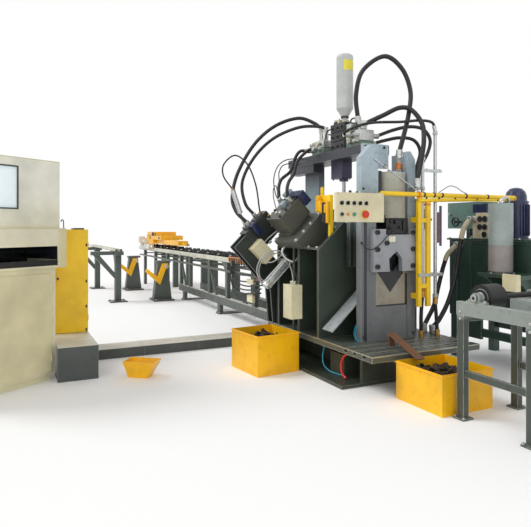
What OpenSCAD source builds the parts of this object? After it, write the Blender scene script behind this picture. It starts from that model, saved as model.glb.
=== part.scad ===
// Angle-profile punching, marking and shearing line.
// +X is the feed direction, +Y points away from the operator's side, +Z is up.
// The origin is the centre of the press base's four anchor holes, on the floor.

/* [Feed line] */
// Sideways place of the profile's centre line
line_y = 55; // [50:1:60]
// Height of the profile's lower corner above the floor
line_z = 960; // [957:1:962]
// Distance between infeed rollers
roller_pitch = 500; // [450:10:500]
// Number of infeed rollers
roller_count = 15; // [5:1:15]

/* [Press base] */
// Length of the base plate along the line
base_l = 1500; // [1500:1:1520]
// Width of the base plate across the line
base_w = 1200; // [1200:1:1220]
// Thickness of the base plate
base_t = 30; // [20:1:40]
// Radius of each anchor hole
anchor_r = 13; // [9:0.5:15]
// Anchor hole spacing along the line
anchor_x = 1380; // [1370:1:1390]
// Anchor hole spacing across the line
anchor_y = 1110; // [1100:1:1120]
// Height of the deck's top face
deck_z = 340; // [340:1:340]
// Thickness of the deck
deck_t = 50; // [40:1:60]
// How far the deck reaches downstream
deck_front = 1100; // [1060:1:1100]

/* [Punching] */
// Radius of the punch
punch_r = 12; // [6:0.5:12.5]
// Radial clearance of each sliding ram in its guide
ram_gap = 0.05; // [0.02:0.01:0.09]
// Place along the line of the near punch
near_punch_x = -250; // [-260:1:-240]
// Place along the line of the far punch
far_punch_x = 105; // [95:1:115]
// Place along the line of the marking head
marking_x = -680; // [-690:1:-675]

/* [Shear] */
// Front face of the shear frame
shear_x = 600; // [600:1:600]
// Thickness of the front frame plate
shear_t = 70; // [60:1:80]
// Radius of the shear cylinder
shear_cyl_r = 140; // [120:1:140]

/* [Control panel] */
// Width of the pendant box
pendant_w = 484; // [470:1:500]
// Height of the pendant box
pendant_h = 245; // [240:1:250]
// Radius of the panel's push buttons
button_r = 14; // [10:0.5:16]

/* [Hidden] */
$fn = 48;
hose_sides = 8;
deck_low = deck_z - deck_t;
table_z = 1150;
table_t = 15;
rib_t = 30;
rib_near = -550;
rib_far = 600;
front_rib_x = 270;
middle_rib_x = -90;
rear_rib_x = -530;
beam_z = 2040;
beam_t = 90;
frame_top = 2095;
cyl_at = [520, 85];
pendant_x = 750;
pendant_y = -645;
pendant_z = 1402;
console_turn = 123.2;
console_at = [-586, -2766, 0];
rail_near = -100;
post_x = [-8500, -7500, -6500, -5530, -4960, -3910, -3130, -2130, -1230];
wide_post_x = -3130;

// A block between its lowest and highest corners.
module block(low, high) { translate(low) cube(high - low); }

// A cylinder from one point to another.
module bar(a, b, r) {
    d = b - a;
    flat = norm([d[0], d[1]]);
    translate(a) rotate([0, atan2(flat, d[2]), atan2(d[1], d[0])]) cylinder(r = r, h = norm(d));
}

// A plate whose outline is given in (Y, Z) and whose thickness runs from x to x + t.
module plate_x(x, t, outline) {
    multmatrix([[0, 0, 1, x], [1, 0, 0, 0], [0, 1, 0, 0], [0, 0, 0, 1]])
        linear_extrude(t) polygon(outline);
}

// A plate whose outline is given in (X, Z) and whose thickness runs from y to y + t.
module plate_y(y, t, outline) {
    translate([0, y + t, 0]) rotate([90, 0, 0]) linear_extrude(t) polygon(outline);
}

// Puts children into the frame of a slanted punch: local +Z runs up the stroke's axis away from
// the profile, local +X is the line's +X, and the origin is on the leg that the punch meets.
// side is -1 for a unit on the operator's side and 1 for one on the far side.
module on_stroke(x, side) {
    translate([x, line_y - side * 35, line_z + 35]) rotate([-45 * side, 0, 0]) children();
}

// A block in a slanted unit's frame: x range, range across the stroke (positive is upwards),
// and range along the stroke.
module stroke_block(side, xs, across, along) {
    lo = side < 0 ? across[0] : -across[1];
    hi = side < 0 ? across[1] : -across[0];
    block([xs[0], lo, along[0]], [xs[1], hi, along[1]]);
}

// Catmull-Rom curve through points, steps rings to a span.
function spline_at(p, i, t) =
    let (a = p[max(i - 1, 0)], b = p[i], c = p[i + 1], d = p[min(i + 2, len(p) - 1)])
    0.5 * (2 * b + (c - a) * t + (2 * a - 5 * b + 4 * c - d) * t * t
        + (3 * b - a - 3 * c + d) * t * t * t);
function spline(p, steps) = concat(
    [for (i = [0 : len(p) - 2]) for (k = [0 : steps - 1]) spline_at(p, i, k / steps)],
    [p[len(p) - 1]]);
function unit(v) = v / norm(v);
function slope(p, i) = unit(p[min(i + 1, len(p) - 1)] - p[max(i - 1, 0)]);
// Carries one cross vector along the curve, so the rings never twist.
function carried(p, i, v) = unit(v - (v * slope(p, i)) * slope(p, i));
function cross_vectors(p, i, v) =
    i == len(p) ? [] : let (w = carried(p, i, v)) concat([w], cross_vectors(p, i + 1, w));

// A hose of radius r along a smooth route.
module hose(route, r, steps = 3) {
    p = spline(route, steps);
    n = len(p);
    start = abs(slope(p, 0)[2]) > 0.9 ? [1, 0, 0] : [0, 0, 1];
    side = cross_vectors(p, 0, start);
    rings = [for (i = [0 : n - 1]) for (k = [0 : hose_sides - 1])
        let (a = 360 * k / hose_sides, up = cross(slope(p, i), side[i]))
        p[i] + r * (cos(a) * side[i] + sin(a) * up)];
    walls = [for (i = [0 : n - 2]) for (k = [0 : hose_sides - 1])
        let (a = i * hose_sides, b = a + hose_sides, next = (k + 1) % hose_sides)
        [a + k, b + k, b + next, a + next]];
    first = [for (k = [0 : hose_sides - 1]) k];
    last = [for (k = [0 : hose_sides - 1]) (n - 1) * hose_sides + hose_sides - 1 - k];
    polyhedron(rings, concat([first], walls, [last]), convexity = 6);
}

// ---------------------------------------------------------------- press base

module base_frame() color("#4d564c") {
    difference() {
        block([-base_l / 2, -base_w / 2, 0], [base_l / 2, base_w / 2, base_t]);
        for (sx = [-1, 1]) for (sy = [-1, 1])
            translate([sx * anchor_x / 2, sy * anchor_y / 2, -1])
                cylinder(r = anchor_r, h = base_t + 2);
    }
    block([-720, -200, base_t], [715, -170, deck_low]);
    block([-720, 480, base_t], [715, 510, deck_low]);
    block([-750, -540, base_t], [-720, 510, deck_low]);
    block([-60, -170, base_t], [-30, 480, deck_low]);
    block([715, -390, base_t], [745, 510, deck_low]);
    block([300, -420, base_t], [520, -230, 220]);
    block([-600, -560, base_t], [-500, -540, deck_low]);
}

module deck_plate() color("#5d665c") difference() {
    block([-750, -550, deck_low], [deck_front, base_w / 2, deck_z]);
    for (x = [720, 850, 980]) {
        block([x, -560, deck_z - 16], [x + 26, 610, deck_z + 1]);
        block([x - 12, -560, deck_z - 32], [x + 38, 610, deck_z - 15]);
    }
}

// ---------------------------------------------------------------- punching

// Gusset outline with a sloped shoulder on both sides.
function shouldered_rib() = [[rib_near, deck_z], [rib_near, table_z], [-280, 1400], [370, 1400],
    [rib_far, table_z], [rib_far, deck_z]];
function plain_rib() = [[rib_near, deck_z], [rib_near, table_z], [rib_far, table_z],
    [rib_far, deck_z]];

module pass_window(x) {
    block([x - 1, line_y - 165, line_z - 90], [x + rib_t + 1, line_y + 165, line_z + 160]);
}

module punch_housing() color("#4a514c") {
    difference() {
        plate_x(front_rib_x, rib_t, shouldered_rib());
        pass_window(front_rib_x);
    }
    for (x = [middle_rib_x, rear_rib_x]) difference() {
        plate_x(x, rib_t, plain_rib());
        pass_window(x);
    }
    for (ys = [[rib_near, -280], [370, rib_far]])
        block([rear_rib_x, ys[0], table_z], [front_rib_x, ys[1], table_z + table_t]);
    block([-500, 450, deck_z], [-90, 480, 1000]);
    block([-60, 450, deck_z], [270, 480, 1000]);
}

// A slanted punching unit: cylinder cap, cylinder, foot, and a guide neck bored for the ram.
// reach is how far the cylinder and its foot run up and down the line from the stroke's axis.
module punch_body(x, side, reach) {
    difference() {
        union() {
            difference() {
                on_stroke(x, side) {
                    stroke_block(side, reach + [20, 20], [-250, 60], [330, 470]);
                    stroke_block(side, reach, [-370, 30], [470, 680]);
                    stroke_block(side, [-120, 120], [-300, 0], [680, 705]);
                    stroke_block(side, [-150, 145], [-275, 20], [705, 900]);
                    for (dx = [-95, 95]) translate([dx, side * 40, 900])
                        cylinder(r = 22, h = 16);
                }
                block([-600, -1000, 0], [600, 1200, table_z + table_t]);
            }
            on_stroke(x, side) stroke_block(side, [-70, 70], [-70, 70], [250, 500]);
        }
        on_stroke(x, side) translate([0, 0, 249]) cylinder(r = 45 + ram_gap, h = 206);
    }
}

module punch_ram(x, side) on_stroke(x, side) {
    translate([0, 0, 15]) cylinder(r = punch_r, h = 45);
    translate([0, 0, 60]) cylinder(r = 28, h = 170);
    translate([0, 0, 230]) cylinder(r = 45, h = 210);
}

module punch_body_near() color("#585c52") punch_body(near_punch_x, -1, [-150, 310]);
module punch_body_far() color("#585c52") punch_body(far_punch_x, 1, [-310, 125]);
module punch_ram_near() color("silver") punch_ram(near_punch_x, -1);
module punch_ram_far() color("silver") punch_ram(far_punch_x, 1);

// V-shaped bed that backs the profile, its notch ten millimetres clear of the profile's corner.
function v_bed(low) = [[line_y - 125, low], [line_y - 125, line_z + 115], [line_y, line_z - 10],
    [line_y + 125, line_z + 115], [line_y + 125, low]];

module punch_dies() color("#6a6c68") difference() {
    union() for (xs = [[-500, -90], [-60, 270]]) {
        plate_x(xs[0], xs[1] - xs[0], v_bed(620));
        block([xs[0], line_y - 125, deck_z], [xs[1], line_y + 125, 620]);
    }
    on_stroke(near_punch_x, -1) translate([0, 0, -240]) cylinder(r = punch_r + 1, h = 300);
    on_stroke(far_punch_x, 1) translate([0, 0, -240]) cylinder(r = punch_r + 1, h = 300);
}

hold_down_x = -185;

module hold_down_cylinder() color("#45425a") difference() {
    union() {
        block([-330, -10, 1865], [-120, 110, beam_z]);
        translate([hold_down_x, line_y, 1835]) cylinder(r = 45, h = 30);
    }
    translate([hold_down_x, line_y, 1834]) cylinder(r = 20 + ram_gap, h = 186);
}

module hold_down_rod() color("silver") {
    translate([hold_down_x, line_y, line_z + 205]) cylinder(r = 20, h = 2010 - line_z - 205);
    translate([hold_down_x, line_y, line_z + 170]) cylinder(r = 34, h = 35);
}

module valve_bracket() color("#e8b21c") {
    block([228, -400, table_z + table_t], [262, -368, 1660]);
    difference() {
        block([60, -400, 1560], [228, -384, 1660]);
        translate([110, -384, 1610]) rotate([90, 0, 0]) translate([0, 0, -1])
            cylinder(r = 14, h = 30);
    }
    block([90, -400, 1660], [130, -384, 1740]);
    block([60, -430, 1500], [100, -400, 1660]);
}

marking_cheek = [[-1000, 1150], [-830, 1320], [-470, 960], [-350, 700], [-350, deck_z],
    [-560, deck_z], [-590, 700]];
cheek_x = [-745, -630];
cheek_t = 25;

module marking_unit() color("#39413c") {
    for (x = cheek_x) plate_x(x, cheek_t, marking_cheek);
    difference() {
        on_stroke(marking_x, -1) {
            stroke_block(-1, [-40, 50], [-60, 60], [330, 640]);
            stroke_block(-1, [-75, 85], [-480, 60], [640, 700]);
            stroke_block(-1, [-75, 85], [-480, -140], [700, 900]);
        }
        on_stroke(marking_x, -1) translate([0, 0, 329]) cylinder(r = 30 + ram_gap, h = 251);
        for (x = cheek_x) plate_x(x, cheek_t, marking_cheek);
    }
    plate_x(-735, 120, v_bed(700));
    block([-735, line_y - 100, deck_z], [-615, line_y + 100, 700]);
}

module marking_ram() color("silver") on_stroke(marking_x, -1) {
    translate([0, 0, 20]) cylinder(r = 10, h = 20);
    translate([0, 0, 40]) cylinder(r = 26, h = 220);
    translate([0, 0, 260]) cylinder(r = 30, h = 270);
}

// ---------------------------------------------------------------- shear

function shear_outline() = [[-295, deck_z], [-295, 1980], [-187, frame_top], [-108, frame_top],
    [-108, 1440], [228, 1440], [228, 2060], [262, 2060], [318, 1985], [318, deck_z]];

module shear_frame() color("#8d979b") {
    difference() {
        plate_x(shear_x - shear_t, shear_t, shear_outline());
        block([shear_x - shear_t - 1, -132, 650], [shear_x + 1, 220, 1441]);
    }
    // rear plate: the window for the profile, a far leg, and a near ear above the chute
    block([380, -132, deck_z], [430, 220, 790]);
    block([380, -295, 1000], [430, -132, 1450]);
    block([380, -132, 1270], [430, 220, 1440]);
    block([380, 220, deck_z], [430, 318, beam_z]);
    block([430, -250, 1000], [shear_x - shear_t, -220, 1450]);
    for (z = [[deck_z, 560], [1000, 1960]])
        block([430, 262, z[0]], [shear_x - shear_t, 292, z[1]]);
    // web and end plate that carry the beam
    block([430, -175, 1441], [shear_x - shear_t, -145, frame_top]);
    block([430, -175, 1905], [470, 110, frame_top + 33]);
    block([430, -132, 620], [shear_x - shear_t, 220, 650]);
    for (y = [-132, 190]) block([430, y, deck_z], [shear_x - shear_t, y + 30, 620]);
}

module shear_cylinder() color("#a9a595") difference() {
    union() {
        block([430, -30, 1300], [620, 215, 1440]);
        translate([cyl_at[0], cyl_at[1], 1440]) cylinder(r = shear_cyl_r, h = 415);
        translate([505, 200, 1855]) cylinder(r = 20, h = 150);
        block([560, -107, 1440.5], [600, -70, 1865]);
        block([560, -107, 1440.5], [600, 0, 1470]);
    }
    translate([500, 55, 1299]) cylinder(r = 60 + ram_gap, h = 321);
}

module shear_ram() color("#84888a") {
    block([470, -130, 1190], [600.5, 218, 1290]);
    translate([500, 55, 1290]) cylinder(r = 60, h = 290);
}

module blade_plate() color("#b4b6b8") plate_x(600.5, 49.5, [[-193, 960], [-193, 1340],
    [-60, 1340], [-60, 1290], [222, 1290], [222, 1340], [275, 1340], [275, 960],
    [line_y + 70, 960], [line_y + 67, 1072], [line_y + 6, 1144], [line_y - 81, 1073],
    [line_y - 73, 960]]);

bolt_places = [[-158, 1311], [244, 1311], [-55, 1216], [-158, 1159], [244, 1159], [-158, 1005],
    [244, 1005]];

module blade_bolts() color("#16171a") for (p = bolt_places) difference() {
    translate([650, p[0], p[1]]) rotate([0, 90, 0]) cylinder(r = 22, h = 20);
    translate([660, p[0], p[1]]) rotate([0, 90, 0]) cylinder(r = 11, h = 12, $fn = 6);
}

// Lower corner of the notch in the block, and the notch's two upper corners.
notch = [[-120, 955], [25, 762], [175, 935]];

module shear_lower_block() color("#a89f8b") difference() {
    block([430, -131, 650], [598, 219, 955]);
    plate_x(429, 170, [[notch[0][0], 956], notch[0], notch[1], notch[2], [notch[2][0], 956]]);
}

// The V-shaped lower blade fills the block's notch and backs the profile.
module lower_blade() color("#2c2d2f") plate_x(540, 58, [[-131, 955], [-131, 1075],
    [line_y - 125, 1075], [line_y, 950], [line_y + 125, 1075], [219, 1075], [219, 955],
    [notch[2][0], 955], notch[2], notch[1], notch[0]]);

module slug_chute() {
    color("#b9bcbd") plate_x(345, 160, [[-132, 783.6], [-530, 428], [-538, 437], [-132, 798]]);
    color("#8a5a34") plate_y(-190, 80, [[830, 446], [830, 454], [1200, 310], [1197, 302]]);
    color("#8a5a34") block([832, -180, deck_z], [844, -120, 447]);
}

// ---------------------------------------------------------------- top of the press

module top_beam() color("#43464c") {
    block([-1030, -150, beam_z], [430, 150, beam_z + beam_t]);
    block([-1000, -140, 1950], [-480, -20, beam_z]);
}

module rear_column() color("#8fa3ad") {
    block([-860, -20, 1450], [-560, 50, beam_z]);
    block([-860, -20, 1450], [-600, 330, 1560]);
    block([-780, 200, deck_z], [-600, 330, 1450]);
}

module valve_manifold() color("#202226") {
    top = beam_z + beam_t;
    block([-190, -110, top], [65, 70, top + 274]);
    block([-235, -80, top + 120], [-190, 20, top + 200]);
    block([-150, -90, top + 274], [-60, 40, top + 318]);
    block([65, -95, top], [150, 50, top + 240]);
    block([150, -110, top], [320, 60, top + 160]);
    block([-560, -110, top], [-330, 60, top + 150]);
    translate([190, -25, top + 160]) cylinder(r = 24, h = 70);
    translate([270, -25, top + 160]) cylinder(r = 24, h = 12);
    for (x = [-500, -400]) translate([x, -25, top + 150]) cylinder(r = 24, h = 90);
    for (z = [top + 50, top + 110]) for (x = [-520, -370, 190, 280])
        bar([x, -110, z], [x, -160, z], 20);
}

module accumulator() color("#c9ccc8") translate([0, -60, 0]) rotate_extrude($fn = 64)
    polygon([[0, 2404], [27, 2404], [27, 2452], [84, 2543], [84, 3052], [80, 3070],
        [66, 3082], [40, 3088], [0, 3090]]);

hose_routes = [
    // two long loops from the valves out over the operator's side to the marking head
    [[-500, -25, 2370], [-500, -35, 2430], [-560, -90, 2500], [-680, -220, 2560],
        [-830, -430, 2480], [-900, -650, 2270], [-910, -840, 1950], [-850, -930, 1680],
        [-750, -930, 1530], [-670, -890, 1452], [-650, -850, 1412], [-650, -808, 1370]],
    [[-400, -25, 2370], [-400, -35, 2410], [-450, -100, 2440], [-600, -260, 2440],
        [-760, -480, 2330], [-830, -680, 2120], [-830, -820, 1850], [-760, -820, 1620],
        [-690, -758, 1504], [-690, -716, 1462]],
    // bundle that drops from the valves to the near punching unit
    [[-520, -160, 2180], [-522, -190, 2180], [-570, -250, 2180], [-590, -300, 2110],
        [-570, -370, 1960], [-490, -520, 1860], [-400, -600, 1760], [-345, -621, 1649],
        [-345, -586, 1614]],
    [[-370, -160, 2180], [-371, -190, 2180], [-420, -240, 2170], [-490, -330, 2060],
        [-440, -400, 1920], [-290, -540, 1820], [-180, -620, 1730], [-155, -621, 1649],
        [-155, -586, 1614]],
    // thin loop from the marking head over to the slim air cylinder
    [[-640, -674, 1504], [-640, -702, 1532], [-655, -740, 1800], [-690, -820, 2020],
        [-700, -960, 2110], [-700, -1085, 2010], [-700, -1090, 1890], [-700, -1005, 1775],
        [-700, -985, 1745]],
    // large loop over the shear to the cylinder's head
    [[190, -25, 2360], [190, -40, 2440], [190, -58, 2650], [212, 6, 2882], [300, 196, 3021],
        [400, 326, 2893], [460, 381, 2668], [490, 337, 2450], [500, 278, 2261],
        [505, 215, 2080], [505, 200, 2005]],
    [[270, -25, 2302], [278, -10, 2350], [360, 136, 2430], [450, 260, 2496],
        [545, 325, 2460], [640, 365, 2318], [695, 336, 2145], [706, 291, 1950],
        [706, 253, 1800], [706, 249, 1722]],
    // runs from the beam's valves to the tall pipe
    [[190, -160, 2240], [194, -194, 2243], [262, -212, 2272], [372, -40, 2338],
        [500, 230, 2350], [590, 380, 2360], [645, 480, 2340], [660, 505, 2262]],
    // drops from the pipes to the deck
    [[660, 352, 770], [659, 349, 700], [654, 341, 560], [648, 345, 430], [648, 346, deck_z]],
    [[660, 505, 700], [660, 506, 650], [666, 515, 500], [670, 520, 390], [670, 520, deck_z]],
    // two hoses from the power pack down to the deck
    [[343, 1150, 1177], [343, 1095, 1172], [295, 1030, 1090], [268, 985, 950], [290, 900, 760],
        [350, 780, 570], [410, 640, 450], [436, 575, 390], [440, 570, deck_z]],
    [[519, 1150, 1437], [519, 1095, 1432], [500, 1035, 1350], [489, 1000, 1220],
        [505, 920, 900], [530, 800, 640], [545, 670, 470], [550, 580, 395],
        [550, 575, deck_z]],
    // pair that swings out past the shear and down behind it
    [[250, 60, 2170], [251, 110, 2175], [256, 240, 2212], [285, 400, 2245], [325, 540, 2225],
        [348, 600, 2120], [352, 560, 1980], [352, 480, 1820], [352, 430, 1620],
        [352, 425, 1400], [352, 425, 1290]],
    [[300, 60, 2235], [301, 110, 2240], [308, 300, 2310], [345, 470, 2350], [380, 610, 2330],
        [402, 680, 2230], [405, 650, 2100], [405, 560, 1960], [405, 470, 1800],
        [405, 430, 1600], [405, 425, 1400], [405, 425, 1290]]];
hose_radii = [19, 17, 17, 17, 8, 22, 22, 13, 17, 17, 22, 22, 17, 17];

module press_hoses() color("#17191c")
    for (i = [0 : len(hose_routes) - 1]) hose(hose_routes[i], hose_radii[i]);

module press_pipes() color("#b5babd") {
    bar([660, 352, 770], [660, 352, 2000], 16);
    bar([660, 505, 700], [660, 505, 2262], 16);
    block([636, 320, 905], [704, 364.5, 933]);
    block([636, 466, 905], [704, 544, 933]);
    block([704, 262, 905], [716, 544, 933]);
    block([640, 310, 1870], [680, 570, 1896]);
    block([600, 236, 1690], [724, 262, 1722]);
    block([330, 318, 1230], [430, 450, 1290]);
}

module junction_boxes() color("#ddd6b8") {
    block([-90, -700, 490], [70, -590, 810]);
    block([-90, -590, 560], [-60, -550, 740]);
    translate([-10, -645, 810]) cylinder(r = 16, h = 30);
    translate([-542.5, -720, 1110]) rotate([45, 0, 0]) block([-52.5, -70, -110], [52.5, 70, 110]);
}

module air_cylinders() color("#b8bcbe") {
    bar([-300, -552, 1010], [-300, -780, 790], 34);
    bar([-300, -780, 790], [-300, -800, 771], 40);
    block([-500, -556, 985], [-270, -540, 1035]);
    bar([-700, -985, 1745], [-700, -899, 1505], 26);
    bar([-700, -899, 1505], [-700, -842, 1345], 12);
}

// ---------------------------------------------------------------- operator's pendant

button_y = pendant_y + 46;
button_step = 62;
upper_z = pendant_z + 158;
lower_z = pendant_z + 64;

module pendant_box() color("#e6dfc6") difference() {
    block([705, pendant_y, pendant_z], [pendant_x, pendant_y + pendant_w, pendant_z + pendant_h]);
    for (k = [0 : 4]) panel_bore(k, upper_z, 8);
    for (k = [0, 2]) panel_bore(k, lower_z, 8);
    panel_bore(3.8, lower_z, 12);
}

module panel_bore(k, z, r) {
    translate([pendant_x - 40, button_y + k * button_step, z]) rotate([0, 90, 0])
        cylinder(r = r + ram_gap, h = 41);
}

// A push button: a cap in front of the panel on a stem in the panel's bore.
module push_button(k, cap_r, stem_r, cap_h) {
    translate([pendant_x - 30, button_y + k * button_step, lower_z]) rotate([0, 90, 0]) {
        cylinder(r = stem_r, h = 36);
        translate([0, 0, 36]) cylinder(r = cap_r, h = cap_h);
    }
}

// A turning selector: a collar with a finger bar across it.
module selector(k) color("#1b1c1e")
    translate([pendant_x - 30, button_y + k * button_step, upper_z]) rotate([0, 90, 0]) {
        cylinder(r = 8, h = 31);
        translate([0, 0, 31]) cylinder(r = button_r + 2, h = 8);
        translate([0, 0, 39]) block([-16, -5, 0], [16, 5, 14]);
    }

module stop_button() color("#1b1c1e") push_button(0, button_r, 8, 8);
module start_button() color("#3c9a55") push_button(2, button_r, 8, 8);
module estop_button() color("#d8392b") push_button(3.8, 30, 12, 16);
module selector_1() selector(0);
module selector_2() selector(1);
module selector_3() selector(2);
module selector_4() selector(3);
module selector_5() selector(4);

module support_boom() color("#f2d13c") {
    bar([712, -161, 1655], [712, 1500, 1655], 20);
    bar([705, 262, 1600], [705, 1500, 1640], 16);
    translate([708, 1500, 1650]) sphere(r = 26);
    block([700, 330, 1612], [712, 1300, 1650]);
    block([672, 262, 630], [704, 303, 1590]);
    block([682, 262, 1590], [704, 303, 1640]);
    block([672, 366, 630], [704, 411, 1640]);
    for (z = [800, 1400]) block([680, 303, z], [700, 366, z + 40]);
    for (z = [700, 1400]) block([shear_x, 266, z], [672, 299, z + 50]);
}

// ---------------------------------------------------------------- infeed

module infeed_side(y, w) {
    block([-9000, y, 825], [-1080, y + w, 865]);
    block([-9000, y, 680], [-1080, y + w, 710]);
    block([-5600, y, 157], [-1130, y + w, 276]);
    for (x = post_x) block([x - 40, y, x < -5600 ? 0 : 276], [x + 40, y + w, 825]);
}

module infeed_frame() color("#66706a") {
    infeed_side(rail_near, 60);
    infeed_side(330, 120);
    block([-9000, -108, 835], [-1080, -100, 905]);
    plate_y(rail_near, 60, [[wide_post_x - 190, 825], [wide_post_x - 40, 700],
        [wide_post_x - 40, 825]]);
    for (x = post_x) block([x - 30, -40, 740], [x + 30, 330, 764]);
    for (x = [-5300, -3450, -1330]) {
        block([x - 70, -120, 0], [x + 70, 470, 20]);
        for (y = [rail_near, 330]) block([x - 50, y, 20], [x + 50, y + 60, 157]);
    }
    for (x = [-5530, -3910]) plate_y(rail_near + 10, 40, [[x + 40, 640], [x + 40, 690],
        [x + 330, 276], [x + 280, 276]]);
}

// A roller with a V groove on its axle, with a bearing block on each side rail.
module v_roller(x, z, groove_r, outer_r) {
    half = outer_r - groove_r + 40;
    translate([x, line_y, z]) rotate([-90, 0, 0]) rotate_extrude() polygon([[0, -half],
        [outer_r, -half], [outer_r, groove_r - outer_r], [groove_r, 0],
        [outer_r, outer_r - groove_r], [outer_r, half], [0, half]]);
    bar([x, -60, z], [x, line_y - half, z], 14);
    bar([x, line_y + half, z], [x, 330, z], 14);
    for (y = [-100, 330]) block([x - 45, y, 865], [x + 45, y + 40, z + 34]);
}

module infeed_rollers() color("#24272a")
    for (k = [0 : roller_count - 1]) v_roller(-1500 - k * roller_pitch, line_z - 60, 60, 78);

module feed_carriage() color("#f0c518") {
    block([-8500, 385, 865.5], [-7400, 435, 1000]);
    block([-8450, -130, 1000], [-7500, 460, 1090]);
    block([-8450, -130, 880], [-7500, -114, 1000]);
    block([-8200, -110, 1090], [-6900, 380, 1180]);
    block([-8160, -100, 1180], [-7300, 340, 1262]);
    block([-7500, -50, 1000], [-5800, 150, 1090]);
    block([-5800, 15, 1000], [-5640, 95, 1060]);
    block([-5640, 15, 995], [-5540, 45, 1045]);
}

module feed_motor() color("#dcdcd2") {
    block([-8400, -250, 1010], [-8250, -130, 1140]);
    translate([-8325, -190, 945]) cylinder(r = 45, h = 65);
    block([-8100, -210, 1010], [-7960, -130, 1080]);
}

module gripper_jaw() color("#8d9094") {
    block([-5640, 60, 995], [-5540, 95, 1045]);
}

// A trapezoid pedestal on a base plate.
module pedestal(x, y) translate([x, y, 0]) {
    block([-200, -190, 0], [200, 190, 30]);
    plate_x(-70, 140, [[-170, 30], [-95, 700], [95, 700], [170, 30]]);
    block([-90, -110, 700], [69, 150, 740]);
}

// A loading stand: post with foot, head and a brace towards the infeed's start.
module stand(x, y) translate([x, y, 0]) {
    block([-150, -150, 0], [150, 150, 20]);
    block([-55, -55, 20], [55, 55, 860]);
    block([-380, -70, 860], [200, 70, 925]);
    plate_y(-20, 40, [[-380, 860], [-55, 860], [-55, 480], [-110, 480]]);
    plate_x(-30, 60, [[-55, 420], [-55, 530], [-330, 860], [-440, 860]]);
    block([-60, -480, 860], [60, -70, 925]);
}

module loading_stands() color("#59635d") {
    pedestal(-5430, -480);
    pedestal(-7400, -600);
    stand(-5570, -1265);
    stand(-8000, -1265);
    for (y = [-1340, -1250]) block([-8800, y, 925], [-5420, y + 40, 965]);
}

// A V-shaped lifting arm on a pivot boss beside its pedestal.
arm_t = 80;
function v_arm_outline() = [[-372, -96], [-110, -335], [31, 50], [-60, 50], [-150, -195],
    [-350, -35]];
module v_arm(x, y) color("#f0c518") translate([x, y, 640]) {
    plate_x(0, arm_t, v_arm_outline());
    rotate([0, 90, 0]) cylinder(r = 48, h = arm_t);
}
module v_arm_near() v_arm(-5359, -440);
module v_arm_far() v_arm(-7329, -560);

// ---------------------------------------------------------------- outfeed

out_x = 1820;
out_z = 868;

module outfeed_frame() color("#98a09c") {
    for (y = [-230, 315]) {
        block([1654, y, 737], [2900, y + 6, 830]);
        for (z = [737, 821]) block([1654, y, z], [2900, y + 50, z + 9]);
    }
    for (x = [1660, 2224, 2820]) {
        for (y = [-230, 315]) block([x, y, 12], [x + 60, y + 50, 737]);
        block([x, -180, 690], [x + 60, 315, 728]);
        for (y = [-255, 290]) block([x - 20, y, 0], [x + 80, y + 100, 12]);
    }
    for (y = [-215, 335]) block([1720, y, 300], [2820, y + 20, 350]);
    block([1950, 30, 737], [2500, 315, 860]);
    for (y = [-225, 320]) difference() {
        union() {
            block([out_x - 80, y, 830], [out_x + 80, y + 40, 844]);
            translate([out_x, y + 40, out_z]) rotate([90, 0, 0]) cylinder(r = 36, h = 40);
            block([out_x - 30, y, 844], [out_x + 30, y + 40, out_z]);
        }
        translate([out_x, y + 41, out_z]) rotate([90, 0, 0]) cylinder(r = 20 + ram_gap, h = 42);
    }
}

module outfeed_roller() color("#1d1f21") {
    translate([out_x, 3, out_z]) rotate([-90, 0, 0]) rotate_extrude() polygon([[0, -181],
        [58, -181], [58, -172], [line_z - out_z, -172], [line_z - out_z, -22], [58, -22],
        [58, -12], [0, -12]]);
    bar([out_x, -240, out_z], [out_x, -178, out_z], 20);
    bar([out_x, -10, out_z], [out_x, 375, out_z], 20);
}

// ---------------------------------------------------------------- power pack

module oil_tank() color("#3f5a52") {
    block([190, 1150, 440], [1350, 1800, 1225]);
    block([170, 1130, 1225], [1370, 1820, 1243]);
    for (x = [200, 1260]) for (y = [1160, 1710]) block([x, y, 0], [x + 80, y + 80, 440]);
    block([200, 1170, 262], [1340, 1210, 340]);
    block([200, 1740, 262], [1340, 1780, 340]);
    block([376, 1165, 234], [598, 1195, 440]);
    block([848, 850, 905], [1320, 1150, 935]);
    block([1167, 800, 802], [1314, 850, 944]);
    block([20, 1290, 1344], [460, 1560, 1624]);
    for (x = [200, 380]) block([x, 1380, 1243], [x + 50, 1470, 1344]);
    for (x = [900, 1240]) plate_x(x, 20, [[870, 905], [1150, 905], [1150, 680]]);
    for (x = [250, 700, 1280]) block([x, 1138, 460], [x + 50, 1150, 1225]);
}

module pump_motor() color("#2c3566") {
    translate([607, 1652, 1243]) cylinder(r = 121, h = 370);
    translate([607, 1652, 1613]) rotate_extrude() polygon([[0, 0], [121, 0], [106, 22],
        [104, 70], [90, 112], [62, 142], [28, 154], [0, 155]]);
    block([505, 1150, 1243], [698, 1290, 1473]);
    block([520, 1190, 1473], [640, 1280, 1504]);
    block([478, 1180, 1504], [653, 1290, 1591]);
}

module pressure_vessel() color("#a9b5b0") {
    translate([978, 1000, 935]) cylinder(r = 84, h = 18);
    translate([978, 1000, 953]) cylinder(r = 106, h = 230);
    translate([978, 1000, 1183]) cylinder(r = 102, h = 10);
    translate([978, 1000, 1193]) cylinder(r = 106, h = 385);
}

module handwheel() color("#1b1d1f") translate([220, 1200, 1415]) rotate([90, 0, 0]) {
    rotate_extrude() translate([46, 0]) circle(r = 9, $fn = 24);
    translate([0, 0, -9]) cylinder(r = 15, h = 18);
    translate([0, 0, -90]) cylinder(r = 8, h = 81);
    for (a = [0, 120, 240]) rotate([0, 0, a]) bar([14, 0, 0], [40, 0, 0], 5);
}

// ---------------------------------------------------------------- operator's console

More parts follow.
